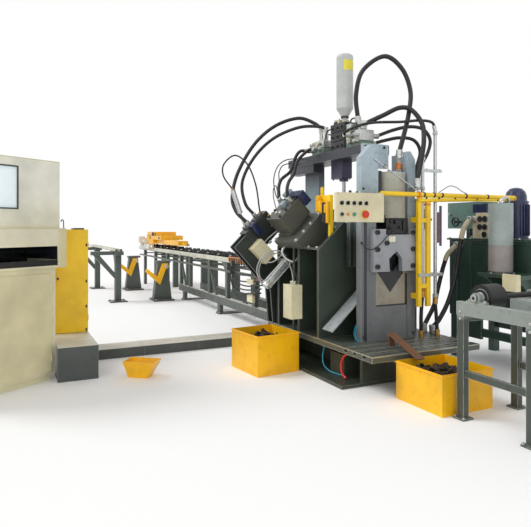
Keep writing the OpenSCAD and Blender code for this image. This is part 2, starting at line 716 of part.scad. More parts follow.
module at_console() { translate(console_at) rotate([0, 0, console_turn]) children(); }

module console_cabinet() color("#e9e8dd") at_console() difference() {
    union() {
        block([-1000, 0, 60], [50, 550, 1000]);
        block([-970, 30, 0], [20, 520, 60]);
        block([-1060, -20, 1000], [150, 550, 1345]);
        block([-1000, 0, 1345], [95, 480, 1940]);
    }
    block([-940, -30, 1020], [60, 420, 1190]);
    block([-940, -1, 90], [-60, 500, 945]);
    block([-800, -1, 1510], [-316, 60, 1865]);
}

module console_door() color("#e2e1d6") at_console() {
    block([-975, -20, 90], [-5, -0.5, 950]);
    block([-940, -44, 560], [-916, -20, 680]);
    for (z = [180, 800]) translate([-5, -20, z]) cylinder(r = 6, h = 60);
}

module keyboard_drawer() color("#1a1b1d") at_console() {
    block([-935, -18, 1022], [55, 330, 1040]);
    block([-935, -24, 1022], [55, -18, 1070]);
    block([-760, 10, 1040], [-300, 170, 1056]);
}

module side_cabinet() color("#f0cf2a") difference() {
    block([-1600, -2700, 300], [-1190, -2368, 1335]);
    block([-1580, -2680, 320], [-1189, -2388, 1315]);
}

module cable_trough() {
    color("#8f938f") block([-1620, -2715, 0], [-490, -2371, 300]);
    color("#a9aba6") block([-1480, -2371, 0], [-1180, -130, 100]);
}

module side_cabinet_door() color("#f0cf2a") {
    block([-1189.5, -2698, 304], [-1168, -2372, 1331]);
    block([-1168, -2670, 800], [-1150, -2650, 900]);
    for (z = [420, 1150]) translate([-1168, -2372, z]) cylinder(r = 6, h = 60);
}

// ---------------------------------------------------------------- scrap

// An open sheet box; its rim is folded out and one end carries a grip.
module open_box(size, wall) {
    difference() {
        block([0, 0, 0], size);
        block([wall, wall, wall], [size[0] - wall, size[1] - wall, size[2] + 1]);
    }
    difference() {
        block([-14, -14, size[2] - 12], [size[0] + 14, size[1] + 14, size[2] - 8]);
        block([wall, wall, size[2] - 13], [size[0] - wall, size[1] - wall, size[2] - 7]);
    }
}

module scrap_bins() color("#f0b020") {
    translate([-370, -1130, 0]) rotate([0, 0, 6]) open_box([490, 455, 370], 5);
    translate([1118, -330, 0]) open_box([500, 500, 300], 5);
    translate([-400, -2180, 0]) rotate([0, 0, 52]) difference() {
        hull() {
            block([40, 40, 0], [220, 150, 1]);
            block([0, 0, 149], [300, 190, 150]);
        }
        hull() {
            block([46, 46, 6], [214, 144, 7]);
            block([6, 6, 150], [294, 184, 152]);
        }
    }
}

base_frame();
deck_plate();
punch_housing();
punch_body_near();
punch_body_far();
punch_ram_near();
punch_ram_far();
punch_dies();
hold_down_cylinder();
hold_down_rod();
valve_bracket();
marking_unit();
marking_ram();
shear_frame();
shear_cylinder();
shear_ram();
blade_plate();
blade_bolts();
shear_lower_block();
lower_blade();
slug_chute();
top_beam();
rear_column();
valve_manifold();
accumulator();
press_hoses();
press_pipes();
junction_boxes();
air_cylinders();
pendant_box();
estop_button();
start_button();
stop_button();
selector_1();
selector_2();
selector_3();
selector_4();
selector_5();
support_boom();
infeed_frame();
infeed_rollers();
feed_carriage();
feed_motor();
gripper_jaw();
loading_stands();
v_arm_near();
v_arm_far();
outfeed_frame();
outfeed_roller();
oil_tank();
pump_motor();
pressure_vessel();
handwheel();
console_cabinet();
console_door();
keyboard_drawer();
side_cabinet();
side_cabinet_door();
cable_trough();
scrap_bins();
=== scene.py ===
"""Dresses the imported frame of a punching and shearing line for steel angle."""

import logging
import math
from dataclasses import dataclass
from enum import Enum
from typing import Sequence

import bpy
import numpy as np
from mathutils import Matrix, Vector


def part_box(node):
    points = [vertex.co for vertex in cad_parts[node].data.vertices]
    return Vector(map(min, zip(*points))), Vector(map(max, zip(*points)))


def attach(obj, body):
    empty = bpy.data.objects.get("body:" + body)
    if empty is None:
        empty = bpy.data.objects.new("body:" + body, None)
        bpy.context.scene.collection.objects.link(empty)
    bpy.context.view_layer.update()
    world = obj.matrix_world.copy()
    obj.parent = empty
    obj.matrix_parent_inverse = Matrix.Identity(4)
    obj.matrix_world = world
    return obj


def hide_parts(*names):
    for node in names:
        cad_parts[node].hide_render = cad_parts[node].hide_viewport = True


Vec = Sequence[float]
Pair = tuple[float, float]

LOG = logging.getLogger("punching_line")
# the stock's line, in metres, and how far the slanted strokes start from it
LINE_Y = 0.055
LINE_Z = 0.960
STROKE_START = 0.035
# both parts of a direction that slants at 45 degrees
SLANT = math.sqrt(0.5)
# edges sharper than this stay sharp; points that agree to so many decimal places are one
SHARP_ANGLE = math.radians(35)
WELD_DIGITS = 7
# how high floor dirt reaches up painted steel, in metres
FLOOR_SPLASH = 0.25
# directions: up, down, towards the operator, the way the stock runs, and against it
UP = (0, 0, 1)
DOWN = (0, 0, -1)
FRONT = (0, -1, 0)
ONWARD = (1, 0, 0)
BACKWARD = (-1, 0, 0)
# numbers of the axes in a place
X, Y, Z = 0, 1, 2
# where a Map Range starts and ends, so that it takes in nearly all of a noise
NOISE_SPAN = {1: 0.3, 2: 0.7}

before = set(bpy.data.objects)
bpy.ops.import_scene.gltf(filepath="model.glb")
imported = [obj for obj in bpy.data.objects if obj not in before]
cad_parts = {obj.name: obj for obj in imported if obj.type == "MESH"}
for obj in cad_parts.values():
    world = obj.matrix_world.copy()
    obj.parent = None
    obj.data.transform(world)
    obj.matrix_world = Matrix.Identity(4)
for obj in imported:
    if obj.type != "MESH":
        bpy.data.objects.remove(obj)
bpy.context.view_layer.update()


def lowest(node: str, axis: int) -> float:
    """A frame node's lowest place along an axis, in millimetres, to a tenth."""
    return round(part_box(node)[0][axis] * 1000, 1)


def highest(node: str, axis: int) -> float:
    """A frame node's highest place along an axis, in millimetres, to a tenth."""
    return round(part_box(node)[1][axis] * 1000, 1)


def middle(node: str, axis: int) -> float:
    """A frame node's middle along an axis, in millimetres, to a tenth."""
    return round((lowest(node, axis) + highest(node, axis)) / 2, 1)


# --------------------------------------------------------------------- surfaces


def turn_matrix(degrees: float) -> np.ndarray:
    """The matrix that, multiplied from the left by rows of points, turns them about Z."""
    c, s = math.cos(math.radians(degrees)), math.sin(math.radians(degrees))
    return np.array([[c, s, 0], [-s, c, 0], [0, 0, 1]])


@dataclass
class Surface:
    """Closed shells as points and faces, a face of three corners repeating its last."""

    points: np.ndarray
    faces: np.ndarray

    def __add__(self, other: "Surface") -> "Surface":
        """Both surfaces together, unwelded."""
        return together([self, other])

    def moved(self, to: Vec) -> "Surface":
        """The surface shifted by a vector."""
        return Surface(self.points + np.asarray(to, float), self.faces)

    def aimed(self, axis: Vec, roll: float = 0.0) -> "Surface":
        """The surface turned so that its +Z lies along an axis.

        Args:
            axis: The direction that +Z takes.
            roll: Turn about +Z before that, in degrees.

        Returns:
            The turned surface.
        """
        # the turned X is square to the axis and to the world's Z, or X where those two align
        z = np.asarray(axis, float) / np.linalg.norm(axis)
        helper = np.array([1.0, 0, 0]) if abs(z[2]) > 0.9 else np.array([0, 0, 1.0])
        x = np.cross(helper, z)
        x /= np.linalg.norm(x)
        basis = np.stack([x, np.cross(z, x), z])
        return Surface(self.points @ turn_matrix(roll) @ basis, self.faces)

    def turned(self, degrees: float) -> "Surface":
        """The surface turned about the Z axis."""
        return Surface(self.points @ turn_matrix(degrees), self.faces)

    def tipped(self, degrees: float) -> "Surface":
        """The surface turned about the X axis."""
        # the turn about Z with each axis taken one place on
        order = [2, 0, 1]
        turn = turn_matrix(degrees)[np.ix_(order, order)]
        return Surface(self.points @ turn, self.faces)

    def outward(self) -> "Surface":
        """The surface with its faces pointing out.

        The sum of p0 . (p1 x p2) over its triangles is six times the volume that it
        encloses, and is negative where the faces point in.

        Returns:
            The surface, or the same one with its faces reversed.
        """
        p = self.points[self.faces]
        fan = np.einsum("ij,ij->i", p[:, 0], np.cross(p[:, 1], p[:, 2]))
        fan += np.einsum("ij,ij->i", p[:, 0], np.cross(p[:, 2], p[:, 3]))
        return self if fan.sum() >= 0 else Surface(self.points, self.faces[:, ::-1])


def together(surfaces: Sequence[Surface]) -> Surface:
    """Several surfaces as one.

    Args:
        surfaces: The surfaces, at least one.

    Returns:
        One surface, each part's faces counted on from the points before it.
    """
    starts = np.cumsum([0] + [len(surface.points) for surface in surfaces])
    return Surface(np.vstack([surface.points for surface in surfaces]),
                   np.vstack([surface.faces + start
                              for surface, start in zip(surfaces, starts)]))


def grid_faces(rows: int, columns: int, wrap: bool) -> np.ndarray:
    """Faces of a grid of points.

    A face joins (i, j), (i, j+1), (i+1, j+1), (i+1, j).

    Args:
        rows: Rows of points.
        columns: Points in a row.
        wrap: Whether the last column joins the first.

    Returns:
        One row of four point numbers for each face.
    """
    i, j = np.meshgrid(np.arange(rows - 1), np.arange(columns if wrap else columns - 1),
                       indexing="ij")
    k = (j + 1) % columns
    corners = [i * columns + j, i * columns + k, (i + 1) * columns + k, (i + 1) * columns + j]
    return np.stack(corners, axis=-1).reshape(-1, 4)


def revolved(profile: Sequence[Vec], sides: int = 28, flats: Sequence[int] = ()) -> Surface:
    """A profile carried round the Z axis.

    A point is (r cos a, r sin a, h). A row in flats has r divided by cos(a'), with a' the
    angle from the nearest of six flats, which makes that ring a hexagon with r across half
    its flats.

    Args:
        profile: Points (radius, height).
        sides: Points round the axis.
        flats: The profile's points that become hexagons.

    Returns:
        The surface, facing out.
    """
    p = np.asarray(profile, float)
    a = np.linspace(0, 2 * math.pi, sides, endpoint=False)
    nearest = np.mod(a + math.pi / 6, math.pi / 3) - math.pi / 6
    radius = np.repeat(p[:, :1], sides, axis=1)
    for row in flats:
        radius[row] = p[row, 0] / np.cos(nearest)
    height = np.repeat(p[:, 1:], sides, axis=1)
    grid = np.stack([radius * np.cos(a), radius * np.sin(a), height], -1)
    return Surface(grid.reshape(-1, 3), grid_faces(len(p), sides, True)).outward()


def soft_block(low: Vec, high: Vec, edge: float = 0.003, cuts: int = 2) -> Surface:
    """A box with rounded edges.

    Each face is a grid; a point is pulled to the box that lies edge inside, then pushed out
    from it by edge along its own offset, so corners are eighths of a sphere.

    Args:
        low: Lowest corner, in metres.
        high: Highest corner, in metres.
        edge: Radius of the edges, kept under half the smallest side.
        cuts: Spans across each rounded edge.

    Returns:
        The box, facing out.
    """
    lo, hi = np.asarray(low, float), np.asarray(high, float)
    edge = min(edge, 0.49 * float((hi - lo).min()))
    t = np.tile(np.linspace(0, 1, cuts + 1), 2)
    m = len(t)
    first = np.arange(m) <= cuts
    shells = []
    for axis in range(3):
        u, v = [k for k in range(3) if k != axis]
        across, up = [np.clip(np.where(first, lo[k] + edge * t, hi[k] - edge + edge * t),
                              lo[k], hi[k]) for k in (u, v)]
        for end in (0, 1):
            grid = np.zeros((m, m, 3))
            grid[..., u] = across[:, None]
            grid[..., v] = up[None, :]
            grid[..., axis] = (lo, hi)[end][axis]
            inner = np.clip(grid, lo + edge, hi - edge)
            away = grid - inner
            length = np.linalg.norm(away, axis=-1, keepdims=True)
            points = (inner + edge * away / np.maximum(length, 1e-12)).reshape(-1, 3)
            faces = grid_faces(m, m, False)
            # the middle face tells which way the whole side faces
            p = points[faces[len(faces) // 2]]
            facing = np.cross(p[1] - p[0], p[2] - p[0])[axis] * (-1, 1)[end]
            shells.append(Surface(points, faces if facing > 0 else faces[:, ::-1]))
    return together(shells)


def smooth_route(points: Sequence[Vec], steps: int = 8) -> np.ndarray:
    """A Catmull-Rom curve through points.

    Between b and c, with neighbours a and d, a point at t is
    0.5 (2b + (c - a) t + (2a - 5b + 4c - d) t^2 + (3b - a - 3c + d) t^3).

    Args:
        points: The points that the curve passes.
        steps: Points of the curve to a span.

    Returns:
        The curve's points.
    """
    p = np.asarray(points, float)
    p = np.vstack([p[:1], p, p[-1:]])
    a, b, c, d = p[:-3, None], p[1:-2, None], p[2:-1, None], p[3:, None]
    t = np.linspace(0, 1, steps, endpoint=False)[None, :, None]
    curve = 0.5 * (2 * b + (c - a) * t + (2 * a - 5 * b + 4 * c - d) * t**2
                   + (3 * b - a - 3 * c + d) * t**3)
    return np.vstack([curve.reshape(-1, 3), p[-1:]])


def carried(route: np.ndarray, radius: float, sides: int = 12) -> Surface:
    """A round section carried along a route, with closed ends.

    At each point the section's circle lies across the route's direction d; its first axis
    is the world axis least along the route, made square to d, and its second is d x the
    first.

    Args:
        route: The route's points, in metres.
        radius: The section's radius, in metres.
        sides: Points round the section.

    Returns:
        The surface, facing out.
    """
    d = np.gradient(route, axis=0)
    d /= np.linalg.norm(d, axis=1, keepdims=True)
    helper = np.eye(3)[int(np.argmin(np.abs(d).sum(axis=0)))]
    first = helper - d * (d @ helper)[:, None]
    first /= np.linalg.norm(first, axis=1, keepdims=True)
    second = np.cross(d, first)
    a = np.linspace(0, 2 * math.pi, sides, endpoint=False)
    circle = first[:, None] * np.cos(a)[None, :, None] + second[:, None] * np.sin(a)[None, :, None]
    grid = route[:, None] + radius * circle
    start, stop = [np.repeat(route[k][None, None], sides, axis=1) for k in (0, -1)]
    grid = np.concatenate([start, grid, stop])
    return Surface(grid.reshape(-1, 3), grid_faces(len(grid), sides, True)).outward()


def copies(shape: Surface, places: Sequence[Vec]) -> Surface:
    """A shape repeated at many places."""
    return together([shape.moved(place) for place in places])


# --------------------------------------------------------------------- parts in stock


def cap_screw(radius: float) -> Surface:
    """A socket screw's head on +Z, with a hexagonal recess and a chamfered rim."""
    r, h = radius, radius * 1.2
    return revolved([(0, 0), (r, 0), (r, h * 0.85), (r * 0.86, h), (r * 0.55, h),
                     (r * 0.55, h * 0.4), (0, h * 0.4)], sides=24, flats=(4, 5))


def hex_nut(radius: float) -> Surface:
    """A hexagonal bolt head on +Z over a round washer."""
    r = radius
    return revolved([(0, 0), (r * 1.25, 0), (r * 1.25, r * 0.22), (r * 0.95, r * 0.24),
                     (r * 0.95, r * 1.0), (r * 0.8, r * 1.15), (0, r * 1.15)], sides=24,
                    flats=(3, 4))


def port(radius: float, grip: float, neck: float, height: float) -> Surface:
    """A screwed fitting on +Z: a hexagon as high as its grip, then a round neck."""
    return revolved([(0, 0), (radius, 0), (radius, grip), (neck, grip + 0.002), (neck, height),
                     (0, height)], 18, (1, 2))


def ferrule(radius: float) -> Surface:
    """A hose's crimped end on +Z: a hexagonal union nut, then a sleeve over the hose."""
    r = radius
    return revolved([(0, 0), (r * 1.25, 0), (r * 1.25, r * 1.2), (r * 1.42, r * 1.25),
                     (r * 1.42, r * 3.4), (r * 1.2, r * 3.6), (r * 1.02, r * 3.6),
                     (0, r * 3.55)], 20, (1, 2))


def solid(low: Vec, high: Vec, edge: float = 3.0) -> Surface:
    """A rounded block between two corners, all in millimetres."""
    return soft_block(np.asarray(low) / 1000, np.asarray(high) / 1000, edge / 1000)


def rod(start: Vec, end: Vec, radius: float, sides: int = 20) -> Surface:
    """A round bar with chamfered ends.

    Args:
        start: The middle of one end, in millimetres.
        end: The middle of the other.
        radius: The bar's radius, in millimetres.
        sides: Points round the bar; six make it a hexagon.

    Returns:
        The bar.
    """
    a, b = np.asarray(start, float) / 1000, np.asarray(end, float) / 1000
    r, h = radius / 1000, float(np.linalg.norm(b - a))
    c = min(0.15 * r, 0.25 * h)
    profile = [(0, 0), (r - c, 0), (r, c), (r, h - c), (r - c, h), (0, h)]
    return revolved(profile, sides).aimed(b - a).moved(a)


def ring(at: Vec, axis: Vec, inner: float, outer: float, height: float) -> Surface:
    """A chamfered ring.

    Args:
        at: The middle of its foot, in millimetres.
        axis: The direction in which it stands.
        inner: Inner radius, in millimetres.
        outer: Outer radius, in millimetres.
        height: Height along the axis, in millimetres.

    Returns:
        The ring.
    """
    i, o, h = inner / 1000, outer / 1000, height / 1000
    c = 0.2 * min(h, o - i)
    profile = [(i, 0), (o, 0), (o, h - c), (o - c, h), (i + c, h), (i, h - c), (i, 0)]
    return revolved(profile, 32).aimed(axis).moved(np.asarray(at, float) / 1000)


class Head(Enum):
    """The kinds of bolt head."""

    NUT = "hexagon on a washer"
    SOCKET = "socket cap"


def heads(places: Sequence[Vec], axis: Vec, radius: float, kind: Head = Head.NUT) -> Surface:
    """Bolt heads.

    Args:
        places: The middle of each one's foot, in millimetres.
        axis: The direction in which they stand.
        radius: Their radius, in millimetres.
        kind: The kind of head.

    Returns:
        All the heads.
    """
    shape = (cap_screw if kind is Head.SOCKET else hex_nut)(radius / 1000)
    return copies(shape.aimed(axis), np.asarray(places, float) / 1000)


def bolt_circle(middle: Vec, radius: float, angles: Sequence[float]) -> list[Vec]:
    """Places on a level circle, at angles in radians."""
    x, y, z = middle
    return [(x + radius * math.cos(a), y + radius * math.sin(a), z) for a in angles]


def wire(points: Sequence[Vec], radius: float, sides: int = 8) -> Surface:
    """A clipped cable or pipe through points, all in millimetres."""
    return carried(smooth_route(np.asarray(points, float) / 1000, 6), radius / 1000, sides)


class Side(Enum):
    """The side of the line on which a slanted unit stands."""

    NEAR = -1
    FAR = 1


@dataclass(frozen=True)
class Unit:
    """A slanted unit, known by its place along the line, in metres, and its side."""

    x: float
    side: Side

    def axes(self) -> tuple[np.ndarray, np.ndarray]:
        """Its directions: up its stroke, and across it upwards."""
        lean = self.side.value * SLANT
        return np.array([0, lean, SLANT]), np.array([0, -lean, SLANT])

    def at(self, dx: float, across: float, along: float) -> np.ndarray:
        """A point of the unit.

        Args:
            dx: Distance from its middle along the line.
            across: Distance across its stroke.
            along: Distance up its stroke.

        Returns:
            The point, in metres.
        """
        up, over = self.axes()
        start = np.array([self.x + dx, LINE_Y - self.side.value * STROKE_START,
                          LINE_Z + STROKE_START])
        return start + up * along + over * across

    def block(self, dx: Pair, across: Pair, along: Pair, edge: float) -> Surface:
        """A rounded block in the unit's own directions.

        A point (x, y, z) of an upright block goes to the unit's start + x (1, 0, 0)
        + y over + z up.

        Args:
            dx: Its two ends along the line.
            across: Its two ends across the stroke.
            along: Its two ends up the stroke.
            edge: Radius of its edges.

        Returns:
            The block, facing out.
        """
        block = soft_block((dx[0], across[0], along[0]), (dx[1], across[1], along[1]), edge)
        up, over = self.axes()
        points = self.at(0, 0, 0) + block.points @ np.stack([np.array(ONWARD), over, up])
        return Surface(points, block.faces).outward()


# --------------------------------------------------------------------- finishes


def linear(colour: str) -> tuple[float, float, float, float]:
    """Turns an sRGB colour into a linear one.

    Args:
        colour: Six hex digits.

    Returns:
        Linear red, green and blue, and alpha 1.
    """
    c = np.array([int(colour[i:i + 2], 16) for i in (0, 2, 4)]) / 255
    c = np.where(c <= 0.04045, c / 12.92, ((c + 0.055) / 1.055) ** 2.4)
    return (*map(float, c), 1.0)


def add(tree: bpy.types.NodeTree, kind: str, links: dict | None = None, out: int | str = 0,
        **settings: object) -> bpy.types.NodeSocket | None:
    """Adds a node.

    Args:
        tree: The node tree.
        kind: The node's type without "ShaderNode".
        links: For each input's name or number, a value or the output that feeds it.
        out: The name or number of the output that is wanted.
        settings: Properties of the node.

    Returns:
        That output, or nothing where the node has none.
    """
    node = tree.nodes.new("ShaderNode" + kind)
    for key, value in settings.items():
        setattr(node, key, value)
    for key, value in (links or {}).items():
        if isinstance(value, bpy.types.NodeSocket):
            tree.links.new(value, node.inputs[key])
        else:
            node.inputs[key].default_value = value
    return node.outputs[out] if node.outputs else None


def per_metre(size: float) -> float:
    """How many marks of a size in millimetres go to a metre, to a tenth."""
    return round(1000 / size, 1)


class Finish:
    """A finish that builds its material once, and the record's slot that it belongs to."""

    made: dict[str, bpy.types.Material] = {}
    name: str
    slot: str

    def material(self) -> bpy.types.Material:
        """The finish's material.

        Returns:
            The material, built on first use.
        """
        if self.name not in Finish.made:
            made = bpy.data.materials.new(self.name)
            made.use_nodes = True
            made.node_tree.nodes.clear()
            self.build(made.node_tree)
            Finish.made[self.name] = made
        return Finish.made[self.name]

    def build(self, tree: bpy.types.NodeTree) -> None:
        """Fills the material's node tree.

        Args:
            tree: The empty tree.
        """
        raise NotImplementedError


@dataclass(frozen=True)
class Enamel(Finish):
    """Sprayed machine enamel on welded steel: satin, slightly uneven, rubbed bright on edges.

    A second colour covers what lies under both limits of below, an X and a Z; the upper one
    comes in between the two heights of fades. Both are in metres, and floor_dirt thins out
    up to FLOOR_SPLASH.
    """

    name: str
    colour: str
    worn: str = "aeb2ae"
    grime: str = "38332b"
    edge: float = 0.6
    dirt: float = 0.35
    roughness: float = 0.42
    edge_mm: float = 6.0
    floor_dirt: float = 0.0
    second: str = ""
    below: Pair = (9.0, 9.0)
    upper: str = ""
    fades: Pair = (0.0, 1.0)
    slot: str = ""

    def build(self, tree: bpy.types.NodeTree) -> None:
        """Colour from broad mottle, grime specks and worn edges; a fine orange-peel bump.

        Args:
            tree: The empty tree.
        """
        at = add(tree, "TexCoord", out="Object")
        # mottle of 300 mm patches, grime of 60 mm ones, and an orange peel of 8 mm specks,
        # which is coarser than real peel so that it shows
        broad = add(tree, "TexNoise", {"Vector": at, "Scale": per_metre(303), "Detail": 4.0})
        patch = add(tree, "TexNoise", {"Vector": at, "Scale": per_metre(62.5), "Detail": 6.0,
                                       "Roughness": 0.65})
        speck = add(tree, "TexNoise", {"Vector": at, "Scale": per_metre(8.33), "Detail": 2.0})
        shade = add(tree, "MapRange", {0: broad, **NOISE_SPAN, 3: 0.84, 4: 1.12})
        where = add(tree, "SeparateXYZ", {0: at}).node.outputs
        covered: bpy.types.NodeSocket | float = 0.0
        if self.second:
            under = [add(tree, "Math", {0: where[k], 1: limit}, operation="LESS_THAN")
                     for k, limit in zip("XZ", self.below)]
            covered = add(tree, "Math", {0: under[0], 1: under[1]}, operation="MULTIPLY")
        base = add(tree, "Mix", {0: covered, 6: linear(self.colour),
                                 7: linear(self.second or self.colour)}, out=2, data_type="RGBA")
        if self.upper:
            lift = add(tree, "MapRange", {0: where["Z"], 1: self.fades[0], 2: self.fades[1]})
            base = add(tree, "Mix", {0: lift, 6: base, 7: linear(self.upper)}, out=2,
                       data_type="RGBA")
        tinted = add(tree, "VectorMath", {0: base, 1: shade}, operation="MULTIPLY")
        # grime lies only on the higher patches
        dirty = add(tree, "MapRange", {0: patch, 1: 0.52, 2: 0.78, 3: 0.0, 4: self.dirt})
        if self.floor_dirt:
            low = add(tree, "MapRange", {0: where["Z"], 1: 0.0, 2: FLOOR_SPLASH,
                                         3: self.floor_dirt, 4: 0.0})
            dirty = add(tree, "Math", {0: dirty, 1: low}, operation="ADD", use_clamp=True)
        soiled = add(tree, "Mix", {0: dirty, 6: tinted, 7: linear(self.grime)}, out=2,
                     data_type="RGBA")
        # an edge is where the normal rounded over edge_mm leaves the face's own, and the
        # rubbing on it is broken up by the grime's patches
        soft = add(tree, "Bevel", {"Radius": self.edge_mm / 1000}, samples=4)
        flat = add(tree, "NewGeometry", out="Normal")
        bend = add(tree, "VectorMath", {0: soft, 1: flat}, out="Value", operation="DOT_PRODUCT")
        rubbed = add(tree, "MapRange", {0: bend, 1: 0.96, 2: 0.78, 3: 0.0, 4: self.edge})
        broken = add(tree, "MapRange", {0: patch, 1: 0.38, 2: 0.58, 3: 0.25, 4: 1.0})
        rub = add(tree, "Math", {0: rubbed, 1: broken}, operation="MULTIPLY", use_clamp=True)
        colour = add(tree, "Mix", {0: rub, 6: soiled, 7: linear(self.worn)}, out=2,
                     data_type="RGBA")
        rough = add(tree, "MapRange", {0: patch, **NOISE_SPAN, 3: self.roughness - 0.08,
                                       4: self.roughness + 0.14})
        bump = add(tree, "Bump", {"Height": speck, "Strength": 0.12, "Distance": 0.0006})
        shader = add(tree, "BsdfPrincipled", {"Base Color": colour, "Roughness": rough,
                                              "Normal": bump, "Coat Weight": 0.12,
                                              "Coat Roughness": 0.25})
        add(tree, "OutputMaterial", {0: shader})


@dataclass(frozen=True)
class MachinedSteel(Finish):
    """Ground or turned metal under a film of oil: finely mottled, darker where oil has dried."""

    name: str
    colour: str = "b9bcbe"
    oil: str = "4a443c"
    roughness: float = 0.34
    stain: float = 0.3
    slot: str = "bright_steel"

    def build(self, tree: bpy.types.NodeTree) -> None:
        """Metal whose colour and roughness follow a fine mottle, with oil stains.

        Args:
            tree: The empty tree.
        """
        at = add(tree, "TexCoord", out="Object")
        # marks of 17 mm down to 2 mm, coarser than real grinding marks so that they show, and
        # stains of 70 mm
        mark = add(tree, "TexNoise", {"Vector": at, "Scale": per_metre(16.67), "Detail": 3.0})
        patch = add(tree, "TexNoise", {"Vector": at, "Scale": per_metre(71.4), "Detail": 5.0})
        shade = add(tree, "MapRange", {0: mark, **NOISE_SPAN, 3: 0.86, 4: 1.08})
        bright = add(tree, "VectorMath", {0: linear(self.colour)[:3], 1: shade},
                     operation="MULTIPLY")
        wet = add(tree, "MapRange", {0: patch, 1: 0.5, 2: 0.75, 3: 0.0, 4: self.stain})
        colour = add(tree, "Mix", {0: wet, 6: bright, 7: linear(self.oil)}, out=2,
                     data_type="RGBA")
        rough = add(tree, "MapRange", {0: mark, **NOISE_SPAN, 3: self.roughness - 0.07,
                                       4: self.roughness + 0.12})
        bump = add(tree, "Bump", {"Height": mark, "Strength": 0.1, "Distance": 0.0005})
        shader = add(tree, "BsdfPrincipled", {"Base Color": colour, "Roughness": rough,
                                              "Metallic": 0.75, "Normal": bump})
        add(tree, "OutputMaterial", {0: shader})


@dataclass(frozen=True)
class HoseRubber(Finish):
    """Synthetic rubber hose cover: matt, wrapped during curing, dusty on top."""

    name: str
    colour: str = "141517"
    dust: str = "54544f"
    roughness: float = 0.52
    slot: str = "hose_black"

    def build(self, tree: bpy.types.NodeTree) -> None:
        """Dark colour with dust in broad noise and a fine wrapped-cloth bump.

        Args:
            tree: The empty tree.
        """
        at = add(tree, "TexCoord", out="Object")
        # dust in 110 mm clouds and a cloth print of 3 mm
        patch = add(tree, "TexNoise", {"Vector": at, "Scale": per_metre(111), "Detail": 4.0})
        cloth = add(tree, "TexNoise", {"Vector": at, "Scale": per_metre(3.125), "Detail": 1.0})
        up = add(tree, "SeparateXYZ", {0: add(tree, "NewGeometry", out="Normal")}, "Z")
        top = add(tree, "MapRange", {0: up, 1: 0.2, 2: 1.0, 3: 0.0, 4: 0.35})
        dusty = add(tree, "Math", {0: top, 1: patch}, operation="MULTIPLY", use_clamp=True)
        colour = add(tree, "Mix", {0: dusty, 6: linear(self.colour), 7: linear(self.dust)}, out=2,
                     data_type="RGBA")
        rough = add(tree, "MapRange", {0: patch, **NOISE_SPAN, 3: self.roughness - 0.1,
                                       4: self.roughness + 0.12})
        bump = add(tree, "Bump", {"Height": cloth, "Strength": 0.2, "Distance": 0.0004})
        shader = add(tree, "BsdfPrincipled", {"Base Color": colour, "Roughness": rough,
                                              "Normal": bump})
        add(tree, "OutputMaterial", {0: shader})


@dataclass(frozen=True)
class MouldedPlastic(Finish):
    """Injection-moulded ABS or polycarbonate: even colour, fine texture, slight sheen."""

    name: str
    colour: str
    roughness: float = 0.38
    glow: float = 0.0
    slot: str = "black_plastic"

    def build(self, tree: bpy.types.NodeTree) -> None:
        """One colour with faint handling marks in its roughness and a moulded texture.

        Args:
            tree: The empty tree.
        """
        at = add(tree, "TexCoord", out="Object")
        # handling marks of 25 mm and a moulded texture of 1.4 mm
        mark = add(tree, "TexNoise", {"Vector": at, "Scale": per_metre(25), "Detail": 4.0})
        skin = add(tree, "TexNoise", {"Vector": at, "Scale": per_metre(1.4286)})
        shade = add(tree, "MapRange", {0: mark, **NOISE_SPAN, 3: 0.93, 4: 1.05})
        tint = add(tree, "VectorMath", {0: linear(self.colour)[:3], 1: shade},
                   operation="MULTIPLY")
        rough = add(tree, "MapRange", {0: mark, **NOISE_SPAN, 3: self.roughness - 0.06,
                                       4: self.roughness + 0.1})
        bump = add(tree, "Bump", {"Height": skin, "Strength": 0.08, "Distance": 0.0002})
        shader = add(tree, "BsdfPrincipled", {"Base Color": tint, "Roughness": rough,
                                              "Normal": bump, "IOR": 1.53,
                                              "Emission Color": linear(self.colour),
                                              "Emission Strength": self.glow})
        add(tree, "OutputMaterial", {0: shader})


# machine enamels
BASE_GREEN = Enamel("base_green_enamel", "3a4338", worn="b9b9a2", edge=0.8, floor_dirt=0.3)
DECK_GREEN = Enamel("deck_green_enamel", "4d554d", worn="d2cfba", grime="4b3424", edge=1.0,
                    dirt=0.65, edge_mm=9)
HOUSING_GREEN = Enamel("housing_green_enamel", "353f36", worn="b9bda8", edge=0.9, dirt=0.45,
                       edge_mm=8, slot="housing_green")
UNIT_GREY = Enamel("punch_unit_enamel", "4c4e46", worn="a9ab9e", edge=0.7, dirt=0.4)
MARKING_GREEN = Enamel("marking_unit_enamel", "27302d", worn="8d938b", edge=0.7)
NAVY = Enamel("navy_gloss_enamel", "16244a", worn="6f82b8", edge=0.4, roughness=0.3, dirt=0.2,
              slot="navy_paint")
CYLINDER_VIOLET = Enamel("hold_down_violet_enamel", "4a4763", worn="9a98b4", edge=0.5)
YELLOW = Enamel("yellow_gloss_enamel", "fccf10", worn="fbe993", grime="c48f08", edge=0.35,
                dirt=0.25, roughness=0.34, slot="yellow_paint")
PALE_YELLOW = Enamel("pale_yellow_plate_enamel", "f3e58a", worn="fbf4c8", edge=0.3, dirt=0.15,
                     slot="yellow_paint")
DEEP_YELLOW = Enamel("arm_yellow_enamel", "f8b80c", worn="f9e08a", grime="8a5f10", edge=0.35,
                     dirt=0.3, roughness=0.36, slot="yellow_paint")
BIN_YELLOW = Enamel("bin_yellow_enamel", "fcbf0a", worn="fde277", grime="b87a06", edge=0.5,
                    dirt=0.35, roughness=0.36)
# the frame behind X 0.52 m and below 1.45 m is near-black green: partly its own dark paint, partly
# painted shade of the hollow behind the front plate
SHEAR_GREY = Enamel("shear_grey_enamel", "707274", worn="d3d4cf", grime="4a4640", edge=0.8,
                    dirt=0.45, second="1c2420", below=(0.52, 1.45), upper="a9bac3",
                    fades=(1.25, 1.75), slot="shear_grey")
